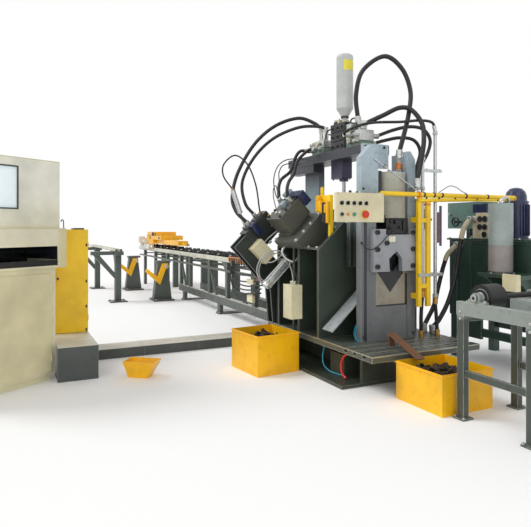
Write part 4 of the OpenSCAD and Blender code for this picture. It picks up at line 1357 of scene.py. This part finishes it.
@dataclass
class TopGear:
    """The beam with its column, valves and accumulator, and the pipes and boom.

    Places are in millimetres.
    """

    beam: float = highest("top_beam", Z)
    plates: float = 2182
    stack: float = lowest("accumulator", Z)
    crown: float = highest("valve_manifold", Z)
    port_rows: Pair = (2180, 2240)
    port_places: tuple[float, ...] = (-520, -370, 190, 280)
    near_pipe: Pair = (660, 352)
    far_pipe: Pair = (660, 505)
    boom_line: Pair = (712, 1655)
    tank_y: float = middle("accumulator", Y)

    def dress(self) -> None:
        """Finishes of the frame nodes."""
        paint(BEAM_GREY, "top_beam")
        paint(COLUMN_BLUE, "rear_column")
        paint(SILVER, "accumulator")
        paint(BRIGHT_STEEL, "press_pipes")
        paint(YELLOW, "support_boom")

    def build(self) -> None:
        """Everything added above the press."""
        self.valves()
        self.sticker()
        self.pipes()
        self.boom()

    def valves(self) -> None:
        """The stacked valves on the beam, in their separate castings."""
        piece("valve_black_castings", BLACK_OXIDE,
              *(solid((-190, -110, z), (65, 70, z + high), 6)
                for z, high in ((self.beam, 92), (2224, 92), (2318, 86))),
              *(rod((x, -112, z), (x, -126, z), 11, 18) for x in (-150, -60, 20)
                for z in (2175, 2270, 2360)),
              solid((-235, -80, 2250), (-190, 20, 2330), 10),
              solid((-150, -96, self.stack), (-95, 46, 2430), 4),
              solid((152, -100, 2235), (228, 50, 2290), 5),
              solid((-452, -100, 2212), (-434, 50, 2284), 4),
              stands_for=("valve_manifold",))
        piece("valve_cream_castings", VALVE_CREAM,
              solid((65, -95, 2212), (150, 50, 2290), 5),
              solid((-560, -110, 2202), (-456, 60, 2280), 8),
              solid((-92, -90, self.stack), (-60, 40, self.crown), 5))
        ports = [(x, z) for z in self.port_rows for x in self.port_places]
        piece("valve_silver_castings", ZINC,
              solid((65, -95, 2292), (150, 50, 2370), 5),
              solid((230, -105, self.plates), (320, 60, 2290), 6),
              solid((-430, -110, 2202), (-330, 60, 2280), 8),
              solid((-150, -90, 2431), (-95, 40, self.crown), 3),
              *(rod((x, -25, 2278), (x, -25, 2366), 22, 24) for x in (-500, -400)),
              rod((190, -25, 2288), (190, -25, 2358), 25, 24),
              rod((270, -25, 2288), (270, -25, 2302), 27, 24),
              *(rod((x, -98, z), (x, -152, z), 21, 24) for x, z in ports),
              *(rod((x, -152, z), (x, -160, z), 14, 24) for x, z in ports),
              heads([(x, y, self.crown) for x in (-140, -70) for y in (-80, 30)], UP, 7,
                    Head.SOCKET),
              slot="plate_grey")
        piece("valve_green_bases", VALVE_GREEN,
              solid((65, -95, self.beam), (150, 50, 2210), 5),
              solid((150, -110, self.beam), (320, 60, 2180), 5),
              solid((-560, -110, self.beam), (-330, 60, 2200), 5),
              solid((152, -105, self.plates), (228, 55, 2233), 4))
        piece("valve_link_tubes", BLACK_OXIDE,
              wire([(-360, -60, 2280), (-355, -60, 2330), (-320, -55, 2375), (-270, -50, 2380),
                    (-240, -40, 2345), (-215, -35, 2330)], 8),
              wire([(-520, 20, 2280), (-500, 20, 2330), (-440, 22, 2360), (-380, 25, 2340),
                    (-360, 25, 2282)], 8),
              wire([(100, -60, 2370), (104, -60, 2405), (130, -55, 2425), (170, -50, 2410),
                    (200, -60, 2350), (206, -60, 2292)], 8),
              ring((0, self.tank_y, self.crown + 1), UP, 26.5, 40, 20))

    def sticker(self) -> None:
        """A plain yellow sticker wrapped on the accumulator, 0.6 mm proud of its shell.

        Its section, a thin upright loop of (r, z), is carried round the shell from -42 to
        34 degrees and closed by a face at each end.
        """
        inner, outer, low, high = 0.0842, 0.0846, 2.915, 3.015
        loop = [(inner, low), (outer, low), (outer, high), (inner, high), (inner, low)]
        a = np.radians(np.linspace(-42, 34, 15))
        shell = np.array([np.stack([r * np.cos(a), self.tank_y / 1000 + r * np.sin(a),
                                    np.full_like(a, z)], -1) for r, z in loop])
        wall = Surface(shell.reshape(-1, 3), grid_faces(len(loop), len(a), False))
        ends = Surface(np.vstack([shell[:4, 0], shell[:4, -1][::-1]]),
                       np.array([[0, 1, 2, 3], [4, 5, 6, 7]]))
        piece("accumulator_sticker", YELLOW_STICKER, (wall + ends).outward())

    def pipes(self) -> None:
        """Union nuts and clamp screws of the two tall pipes, and the bars behind them."""
        unions = [(self.near_pipe, 1975), (self.near_pipe, 1700), (self.far_pipe, 2222),
                  (self.far_pipe, 700)]
        piece("pipe_unions", ZINC,
              *(rod((*pipe, z), (*pipe, z + 34), 25, 6) for pipe, z in unions),
              heads([(716, y, 919) for y in (290, 400, 450, 530)], ONWARD, 8),
              heads([(x, y, 1896) for x in (652, 668) for y in (325, 400, 555)], UP, 6),
              heads([(724, y, 1706) for y in (240, 256)], ONWARD, 6, Head.SOCKET))
        piece("pipe_brass_union", BRASS, rod((*self.near_pipe, 771), (*self.near_pipe, 812), 25, 6))
        piece("rear_red_bar", OXIDE_RED, rod((640, 560, 1210), (640, 560, 1500), 9),
              slot="column_blue")
        piece("rear_purple_bar", PURPLE, rod((640, 590, 1180), (640, 590, 1560), 12))

    def boom(self) -> None:
        """Clamps on the boom, the ring at its corner and the cable that rides on it."""
        x, z = self.boom_line
        piece("boom_clamps", BLACK_OXIDE,
              *(rod((x, y - 11, z), (x, y + 11, z), 23.5, 24) for y in (319, 438, 536, 835, 1122)),
              heads([(714, y, 1626) for y in (350, 500, 700, 980, 1260)], ONWARD, 8))
        piece("boom_pale_plate", PALE_YELLOW, solid((711, 300, 1604), (714, 1300, 1642), 1))
        piece("boom_corner_ring", ORANGE_BUTTON,
              ring((x, 262, z), FRONT, 21, 30, 14),
              ring((688, 388, 1560), UP, 1, 30, 14),
              slot="yellow_paint")
        piece("boom_cable", GREY_TUBE,
              wire([(712, 500, 1678), (710, 560, 1710), (708, 640, 1745), (708, 720, 1735),
                    (710, 790, 1700), (712, 850, 1678)], 5))


@dataclass
class Pendant:
    """The operator's pendant box. Places are in millimetres."""

    face: float = highest("pendant_box", X)
    lid: float = highest("pendant_box", Z)
    first: float = middle("selector_1", Y)
    step: float = middle("selector_2", Y) - middle("selector_1", Y)
    lower: float = middle("start_button", Z)
    upper: float = middle("selector_1", Z)

    def dress(self) -> None:
        """Finishes of the frame nodes."""
        paint(CREAM, "pendant_box")
        paint(BLACK_PLASTIC, "stop_button", *(f"selector_{k}" for k in range(1, 6)))
        paint(GREEN_BUTTON, "start_button")
        paint(RED_BUTTON, "estop_button")

    def place(self, number: float, row: float) -> Vec:
        """A control's place on the face, from its number along a row."""
        return (self.face, self.first + number * self.step, row)

    def build(self) -> None:
        """Bezels, lamp, corner screws and the lid's seam."""
        piece("pendant_bezels", ZINC,
              *(ring(self.place(k, self.lower), ONWARD, 15.2, 20, 5) for k in (0, 2)),
              *(ring(self.place(k, self.upper), ONWARD, 9, 21, 0.9) for k in range(5)))
        piece("pendant_estop_disc", YELLOW, ring(self.place(3.8, self.lower), ONWARD, 31, 40, 2.5))
        lamp = revolved([(0, 0), (0.013, 0), (0.013, 0.004), (0.0105, 0.005), (0.0105, 0.009),
                         (0.008, 0.013), (0, 0.0145)], 28).aimed(ONWARD)
        piece("pendant_lamp", ORANGE_BUTTON,
              lamp.moved(np.array(self.place(1, self.lower)) / 1000))
        piece("pendant_screws", ZINC,
              heads([(self.face, y, z) for y in (-633, -173) for z in (1414, 1635)], ONWARD, 4,
                    Head.SOCKET))
        piece("pendant_seam", CREAM,
              solid((738, -648, 1399), (742, -158, 1650), 1.5),
              solid((690, -420, 1640), (706, -380, 1664), 3),
              solid((715, -200, self.lid), (735, -168, 1657), 3))
        piece("pendant_glands", BLACK_PLASTIC,
              rod((728, -500, self.lid), (728, -500, 1668), 13),
              rod((728, -430, self.lid), (728, -430, 1662), 10))


@dataclass
class Infeed:
    """The roller infeed with its carriage and the loading arms beside it.

    Places are in millimetres; posts and stands are foot plates' middles in plan. An arm's
    pivot lies pivot_in from its end and pivot_down from its top.
    """

    far_end: float = lowest("infeed_frame", X) - 0.5
    press_end: float = highest("infeed_frame", X) + 0.6
    arms: tuple[str, ...] = ("near", "far")
    pivot_in: float = 48
    pivot_down: float = 50
    arm_stands: tuple[Pair, ...] = ((-5430, -480), (-7400, -600))
    rail_posts: tuple[Pair, ...] = ((-5570, -1265), (-8000, -1265))
    hose_drops: tuple[Pair, ...] = ((610, 640), (560, 610), (505, 560), (455, 540), (430, 500),
                                    (700, 690))
    hose_stubs: int = 9

    def dress(self) -> None:
        """Finishes of the frame nodes."""
        paint(FRAME_GREY, "infeed_frame", "loading_stands")
        paint(ROLLER, "infeed_rollers")
        paint(DEEP_YELLOW, "feed_carriage", "v_arm_near", "v_arm_far")
        paint(MOTOR_WHITE, "feed_motor")
        paint(BRIGHT_STEEL, "gripper_jaw")

    def build(self) -> None:
        """Everything added to the infeed."""
        self.rails()
        self.carriage()
        self.hoses()
        self.boxes()

    def rails(self) -> None:
        """Light strips of painted highlight on the rails, the nuts of rollers and feet, and the
        arms' pivot bolts.
        """
        # light strips on the rails' faces and tops: painted highlight where light catches them
        piece("infeed_rail_strip", RAIL_HIGHLIGHT,
              solid((self.far_end, -109.2, 834.4), (self.press_end, -98.8, 906), 2),
              solid((-5600, -103, 275), (-1130, -60, 280), 2),
              solid((-8799, -1341, 930), (-5421, -1299, 966), 2),
              solid((-8799, -1251, 930), (-5421, -1209, 966), 2))
        piece("infeed_nuts", ZINC,
              heads([(-1500 - 500 * k + dx, y, 934) for k in range(15) for dx in (-28, 28)
                     for y in (-80, 350)], UP, 10),
              heads([(x + dx, y, 20) for x in (-5300, -3450, -1330) for dx in (-52, 52)
                     for y in (-108, 455)], UP, 11),
              heads([(x + dx, y + dy, 20) for x, y in self.rail_posts for dx in (-120, 120)
                     for dy in (-120, 120)], UP, 13),
              heads([(x + dx, y + dy, 30) for x, y in self.arm_stands for dx in (-165, 165)
                     for dy in (-150, 150)], UP, 13))
        for name in self.arms:
            x, y, z = (highest(f"v_arm_{name}", axis) for axis in (X, Y, Z))
            y, z = y - self.pivot_in, z - self.pivot_down
            piece(f"{name}_arm_pivot_bolt", ZINC, rod((x, y, z), (x + 10, y, z), 34, 28),
                  heads([(x + 10, y, z)], ONWARD, 22), body=f"{name}_arm")

    def carriage(self) -> None:
        """The feed motor's fins and boxes, and the carriage's bolts, knobs and plates."""
        piece("feed_motor_fins", MOTOR_WHITE,
              *(solid((-8390 + 18 * k, -258, 1014), (-8382 + 18 * k, -132, 1150), 2)
                for k in range(8)),
              rod((-8325, -190, 925), (-8325, -190, 947), 30),
              solid((-8090, -222, 1020), (-7970, -208, 1070), 3),
              rod((-8180, -131, 930), (-8180, -172, 930), 58, 32),
              solid((-8090, -168, 872), (-7760, -131, 985), 12),
              solid((-7740, -150, 900), (-7520, -131, 960), 6), body="carriage")
        piece("carriage_bolts", BLACK_OXIDE,
              heads([(x, y, 1090) for x in (-8400, -8350, -7650, -7560) for y in (-80, 420)], UP,
                    10, Head.SOCKET),
              heads([(x, y, 1180) for x in (-7240, -6950) for y in (-60, 320)], UP, 9,
                    Head.SOCKET),
              rod((-7600, -102, 1215), (-7600, -128, 1215), 42, 28),
              rod((-7380, -102, 1225), (-7380, -118, 1225), 24, 28),
              rod((-7060, -112, 1135), (-7060, -120, 1135), 30, 28),
              solid((-8162, -112, 1176), (-7298, -98, 1186), 2),
              solid((-7900, -114, 1100), (-7820, -108, 1165), 3),
              heads([(x, -130, z) for x in (-8400, -8200, -7950, -7750, -7550)
                     for z in (905, 975)], FRONT, 8), body="carriage")

    def hoses(self) -> None:
        """Hoses that droop from the rail to the press, and stubs looped over its top."""
        rng = np.random.default_rng(3)
        black, tan = [], []
        for k, (low, far) in enumerate(self.hose_drops):
            y, x = -118 - 11 * (k % 4), -2860 + 26 * ((k * 5) % 6)
            black.append(wire([(x, y + 8, 862), (x + 12, y, 790), (x - 24, y - 6, 700),
                               (x + 60, y - 12, low + 60), (x + 240, y - 14, low),
                               (x + 480, y - 12, low - 6), (x + 760, y - 8, low + 22),
                               (x + 960, y, far)], 10))
        for k in range(self.hose_stubs):
            x = -2950 + 84 * k + float(rng.uniform(-12, 12))
            tan.append(wire([(x, -118, 858), (x + 20, -130, 903), (x + 66, -136, 921),
                             (x + 116, -130, 896), (x + 96, -124, 846)], 10))
            black.append(wire([(x + 40, -118, 840), (x + 60, -128, 896), (x + 104, -134, 910),
                               (x + 150, -128, 880), (x + 140, -122, 820)], 8))
        piece("infeed_black_hoses", BLACK_CABLE, *black)
        piece("infeed_orange_hoses", ORANGE_TUBE, *tan)

    def boxes(self) -> None:
        """The small boxes on the infeed's side near the press."""
        piece("infeed_cream_boxes", CREAM,
              solid((-2245, -150, 590), (-2040, -108, 655), 4),
              solid((-2230, -150, 345), (-2050, -108, 470), 4))
        piece("infeed_red_block", OXIDE_RED, solid((-1970, -140, 650), (-1830, -104, 725), 6),
              slot="infeed_grey")


@dataclass
class Outfeed:
    """The short outfeed bench. Places and the roller's radius are in millimetres."""

    legs: tuple[float, ...] = (1660, 2224, 2820)
    roller: float = 92

    def dress(self) -> None:
        """Finishes of the frame nodes."""
        paint(BENCH_GREY, "outfeed_frame")
        paint(ROLLER, "outfeed_roller")

    def build(self) -> None:
        """Pillow-block and foot bolts, and the roller's hub rings."""
        piece("outfeed_bolts", ZINC,
              heads([(x, y, 844) for x in (1755, 1885) for y in (-205, 340)], UP, 10),
              heads([(x + dx, y, 12) for x in self.legs for dx in (-10, 70)
                     for y in (-240, 375)], UP, 9),
              heads([(x + 30, -230, z) for x in self.legs for z in (710, 760)], FRONT, 8))
        x, z = (highest("outfeed_roller", axis) - self.roller for axis in (X, Z))
        end = lowest("outfeed_roller", Y)
        piece("outfeed_hub_rings", BRIGHT_STEEL,
              ring((x, end, z), FRONT, 12, 26, 6),
              ring((x, end + 62, z), FRONT, 21, 40, 8),
              ring((x, end + 70.5, z), FRONT, 40, 62, 2), body="roller")


@dataclass
class PowerPack:
    """The hydraulic power pack. Places are in millimetres."""

    lid: float = lowest("pump_motor", Z)
    vessel: Pair = (middle("pressure_vessel", X), middle("pressure_vessel", Y))
    vessel_foot: float = lowest("pressure_vessel", Z)
    vessel_top: float = highest("pressure_vessel", Z)
    motor: Pair = (607, 1652)
    fin_step: float = 15
    outlets: tuple[Vec, ...] = ((343, 1150, 1177), (519, 1148, 1437))
    gauge: Pair = (800, 1080)

    def dress(self) -> None:
        """Finishes of the frame nodes."""
        paint(TANK_GREEN, "oil_tank")
        paint(NAVY, "pump_motor")
        paint(VESSEL_GREY, "pressure_vessel")
        paint(BLACK_PLASTIC, "handwheel")

    def build(self) -> None:
        """Everything added to the power pack."""
        self.bolts()
        self.fins()
        self.castings()
        self.pipes()
        self.details()

    def bolts(self) -> None:
        """Bolts of the lid, the valve block and the vessel's flange."""
        piece("power_pack_bolts", ZINC,
              heads([(x, y, self.lid) for x in (200, 480, 760, 1060, 1340) for y in (1145, 1808)]
                    + [(x, y, self.lid) for x in (182, 1358) for y in (1300, 1480, 1650)], UP, 9),
              heads([(x, 1150, z) for x in (495, 705) for z in (1260, 1460)], FRONT, 9),
              heads(bolt_circle((*self.vessel, self.vessel_foot), 112,
                                np.arange(0.4, 6.2, math.pi / 3)), UP, 8))

    def fins(self) -> None:
        """The motor's upright fins, its cowl's ring and its terminal box."""
        x, y = self.motor
        fin = soft_block((0.118, -0.003, 1.27), (0.134, 0.003, 1.59), 0.001, 1)
        piece("motor_fins", NAVY,
              *(fin.turned(turn).moved((x / 1000, y / 1000, 0))
                for turn in np.arange(0, 360, self.fin_step)),
              ring((x, y, 1612), UP, 90, 127, 12),
              solid((560, 1505, 1400), (655, 1545, 1500), 8))

    def castings(self) -> None:
        """The valve block's ports and cover, and the box on the tank."""
        socket = revolved([(0, 0), (0.028, 0), (0.030, 0.004), (0.030, 0.008), (0.018, 0.008),
                           (0.018, 0.003), (0, 0.003)], 28).aimed(FRONT)
        piece("pump_ports", BLACK_OXIDE,
              *(socket.moved((x / 1000, 1.148, z / 1000)) for x, z in (
                  (600, 1440), (662, 1440), (600, 1360), (662, 1360), (655, 1285))))
        piece("pump_cream_castings", VALVE_CREAM, solid((515, 1180, 1474), (645, 1290, 1505), 4),
              slot="cream_paint")
        piece("pack_cream_box", CREAM, solid((1165, 797, 800), (1316, 852, 946), 5))

    def pipes(self) -> None:
        """The cream sleeves at the two hoses' ends, their rings and the vessel's pipe."""
        piece("pack_cream_pipes", VALVE_CREAM,
              wire([(343, 1150, 1177), (343, 1095, 1172), (295, 1030, 1090), (275, 1000, 1010)],
                   25, 16),
              wire([(519, 1150, 1437), (519, 1095, 1432), (500, 1035, 1350), (491, 1005, 1240)],
                   25, 16),
              solid((504, 1148.6, self.lid), (699, 1291, 1474), 5), slot="cream_paint")
        piece("pack_elbows", ZINC,
              *(ring(outlet, FRONT, 25, 36, 14) for outlet in self.outlets),
              rod((60, 1290, 1500), (60, 1262, 1500), 12),
              wire([(*self.vessel, self.vessel_top), (*self.vessel, 1600), (978, 1030, 1625),
                    (960, 1110, 1630), (900, 1200, 1560), (880, 1240, 1400),
                    (880, 1250, self.lid)], 13, 12))

    def details(self) -> None:
        """The tank's ribs, and its gauge with a plain face."""
        x, z = self.gauge
        piece("tank_ribs", TANK_GREEN,
              *(solid((rib, 1140, 470), (rib + 12, 1151, 1215), 3) for rib in (480, 980)),
              solid((206, 1141, 1195), (1334, 1151, 1224), 3))
        rim = revolved([(0.045, 0), (0.05, 0.004), (0.05, 0.022), (0.045, 0.026), (0.04, 0.022),
                        (0.04, 0.012), (0, 0.012), (0, 0.004), (0.045, 0)], 32)
        piece("pack_gauge", ZINC, rim.aimed(FRONT).moved((x / 1000, 1.146, z / 1000)))
        piece("pack_gauge_face", STICKER, rod((x, 1140, z), (x, 1131, z), 39, 32))


@dataclass
class OperatorStation:
    """The console, its drawer, the side cabinet and the cable trough.

    The console's own pieces are laid out about its corner and turned into place. Sizes are
    in millimetres, but for the corner's, which are in metres.
    """

    corner: Vec = (-0.586, -2.766, 0)
    turn: float = 123.2
    screen_low: Pair = (-803, 1507)
    screen_high: Pair = (-313, 1869)
    bezel: float = 12
    key_step: Pair = (26, 28)
    vent_step: float = 26
    vents: int = 12
    hinge: Pair = (-1170, -2388)
    cabinet_top: float = highest("side_cabinet", Z)
    trough_top: float = highest("cable_trough", Z)

    def dress(self) -> None:
        """Finishes of the frame nodes."""
        paint(CONSOLE_WHITE, "console_cabinet")
        paint(CONSOLE_PANEL, "console_door")
        paint(BLACK_PLASTIC, "keyboard_drawer")
        paint(YELLOW, "side_cabinet", "side_cabinet_door")
        paint(TROUGH_GREY, "cable_trough")
        paint(BIN_YELLOW, "scrap_bins")

    def build(self) -> None:
        """Everything added to the console, the cabinet and the trough."""
        self.screen()
        self.keyboard()
        self.panels()
        self.cabinet()
        self.trough()

    def fit(self, name: str, finish: Finish, *shapes: Surface, body: str = "machine") -> None:
        """Makes a piece from surfaces laid out about the console's corner.

        Args:
            name: The piece's name.
            finish: Its finish.
            shapes: Its surfaces, before the console's turn.
            body: The body that it moves with.
        """
        piece(name, finish, together(shapes).turned(self.turn).moved(self.corner),
              body=body)

    def screen(self) -> None:
        """The screen's four bezel bars and its glass."""
        (x0, z0), (x1, z1), w = self.screen_low, self.screen_high, self.bezel
        self.fit("screen_bezel", BEZEL_GREY,
                 solid((x0, -6, z0), (x1, 6, z0 + w), 4),
                 solid((x0, -6, z1 - w), (x1, 6, z1), 4),
                 solid((x0, -6, z0), (x0 + w, 6, z1), 4),
                 solid((x1 - w, -6, z0), (x1, 6, z1), 4))
        self.fit("screen_glass", LIGHT_GLASS,
                 solid((x0 + 6, 12, z0 + 6), (x1 - 6, 24, z1 - 7), 3))

    def keyboard(self) -> None:
        """The drawer's keys and dark sheets of painted shade in its recess."""
        dx, dy = self.key_step
        self.fit("keyboard_keys", KEY_CAP,
                 *(solid((-750 + dx * i, 20 + dy * j, 1055),
                         (-728 + dx * i, 43 + dy * j, 1062), 2)
                   for i in range(17) for j in range(5)), body="drawer")
        # dark sheets on the recess's back, sides and top: painted shade inside the keyboard drawer
        self.fit("keyboard_recess_lining", RECESS_SHADE,
                 solid((-939, 412, 1042), (59, 419, 1189), 1),
                 solid((-939.6, -16, 1042), (-936, 419, 1189), 1),
                 solid((56, -16, 1072), (59.6, 419, 1189), 1),
                 solid((-939, -16, 1186), (59, 419, 1189.6), 1))

    def panels(self) -> None:
        """The console's seams, its vents and the door's handle and lock."""
        self.fit("console_seams", CONSOLE_PANEL,
                 solid((-1061, -22, 1340), (151, 20, 1348), 2),
                 solid((-1061, -22, 996), (151, 20, 1004), 2),
                 solid((-1001, -2, 1934), (96, 40, 1942), 2),
                 solid((60, -21, 1004), (151, -19.5, 1340), 0.6))
        slits = [solid((x, y + self.vent_step * k, z), (x + 2.5, y + 14 + self.vent_step * k,
                                                        z + 140), 1)
                 for x, y, z in ((49.5, 120, 760), (94.5, 100, 1560)) for k in range(self.vents)]
        self.fit("console_vents", BLACK_PLASTIC, *slits)
        self.fit("console_door_lock", ZINC,
                 solid((-944, -48, 556), (-936, -40, 684), 3),
                 rod((-928, -44, 720), (-928, -20, 720), 12), body="door")

    def cabinet(self) -> None:
        """The side cabinet's hinges and knob, and what stands on its top."""
        piece("side_cabinet_fittings", BLACK_OXIDE,
              *(rod((*self.hinge, z - 14), (*self.hinge, z + 14), 8)
                for z in (1178, 815, 562, 326)),
              rod((-1152, -2660, 850), (-1140, -2660, 850), 12), body="cabinet_door")
        piece("side_cabinet_top", BLACK_PLASTIC,
              solid((-1500, -2500, self.cabinet_top), (-1240, -2400, 1350), 3),
              wire([(-1200, -2600, 1336), (-1200, -2602, 1400), (-1198, -2606, 1428),
                    (-1190, -2620, 1430), (-1186, -2628, 1412)], 5))

    def trough(self) -> None:
        """The trough's joints and its dusty covers."""
        piece("trough_joints", TROUGH_GREY,
              *(solid((x, -2716, -0.2), (x + 6, -2370, self.trough_top + 1), 1)
                for x in (-1300, -900)),
              *(solid((-1481, y, -0.2), (-1179, y + 6, 101), 1) for y in (-1800, -1200, -600)))
        piece("trough_covers", DUSTY_COVER,
              solid((-1616, -2712, self.trough_top - 0.2),
                    (-494, -2374, self.trough_top + 1), 0.5),
              solid((-1476, -2370, 99.8), (-1184, -134, 101), 0.5))


# --------------------------------------------------------------------- camera and light


@dataclass
class Studio:
    """Camera, lights, floor and world.

    The focal length and the horizon's height above the middle are in the units in which the
    view is frame_width wide. A lamp has its power, tilt, turn and spread, in degrees.
    """

    eye: tuple[float, float, float] = (4.53, -3.128, 1.35)
    heading: float = 64.25
    sensor: float = 36.0
    focal: float = 540.0
    frame_width: float = 531.0
    horizon: float = 35.5
    daylight: float = 0.62
    floor_half: float = 60.0
    floor_z: float = -0.0005
    suns: tuple[tuple[str, float, float, float, float], ...] = (
        ("key", 1.35, 42, -28, 25), ("fill", 0.5, 62, 70, 50))

    def camera(self) -> None:
        """A level camera whose shift puts the horizon above the middle."""
        data = bpy.data.cameras.new("camera")
        data.sensor_width = self.sensor
        data.lens = self.sensor * self.focal / self.frame_width
        data.shift_y = -self.horizon / self.frame_width
        data.clip_end = 200
        camera = bpy.data.objects.new("camera", data)
        camera.location = self.eye
        camera.rotation_euler = (math.pi / 2, 0, math.radians(self.heading))
        bpy.context.scene.collection.objects.link(camera)
        bpy.context.scene.camera = camera

    def lamps(self) -> None:
        """Two wide suns, the main one and a weaker one that lights the shaded sides."""
        for name, power, tilt, turn, spread in self.suns:
            data = bpy.data.lights.new(name, "SUN")
            data.energy = power
            data.angle = math.radians(spread)
            lamp = bpy.data.objects.new(name, data)
            lamp.rotation_euler = (math.radians(tilt), 0, math.radians(turn))
            bpy.context.scene.collection.objects.link(lamp)

    def surroundings(self) -> None:
        """An even world that shows white itself, and a pale floor that keeps the shadows."""
        world = bpy.data.worlds.new("studio")
        bpy.context.scene.world = world
        world.use_nodes = True
        tree = world.node_tree
        tree.nodes.clear()
        ray = add(tree, "LightPath").node.outputs
        seen = add(tree, "Math", {0: ray["Is Camera Ray"], 1: ray["Is Glossy Ray"]},
                   operation="MAXIMUM")
        seen = add(tree, "Math", {0: seen, 1: ray["Is Transmission Ray"]}, operation="MAXIMUM")
        level = add(tree, "MapRange", {0: seen, 3: self.daylight, 4: 1.0})
        glow = add(tree, "Background", {0: (1, 1, 1, 1), 1: level})
        add(tree, "OutputWorld", {0: glow})
        mesh = bpy.data.meshes.new("studio_floor")
        h, z = self.floor_half, self.floor_z
        mesh.from_pydata([(-h, -h, z), (h, -h, z), (h, h, z), (-h, h, z)], [], [(0, 1, 2, 3)])
        floor = bpy.data.objects.new("studio_floor", mesh)
        bpy.context.scene.collection.objects.link(floor)
        pale = bpy.data.materials.new("studio_floor_paint")
        pale.use_nodes = True
        sockets = pale.node_tree.nodes["Principled BSDF"].inputs
        sockets["Base Color"].default_value = (1, 1, 1, 1)
        sockets["Roughness"].default_value = 0.9
        mesh.materials.append(pale)

    def make(self) -> None:
        """Builds everything and sets the view transform."""
        self.camera()
        self.lamps()
        self.surroundings()
        bpy.context.scene.view_settings.view_transform = "Standard"


def main() -> None:
    """Builds the studio and the sub-assemblies in order."""
    logging.basicConfig(level=logging.INFO, format="%(message)s")
    Studio().make()
    HoseSet().make()
    for assembly in (Press(), Shear(), TopGear(), Pendant(), Infeed(), Outfeed(), PowerPack(),
                     OperatorStation()):
        assembly.dress()
        assembly.build()
        LOG.info("%s done", type(assembly).__name__)


if __name__ == "__main__":
    main()
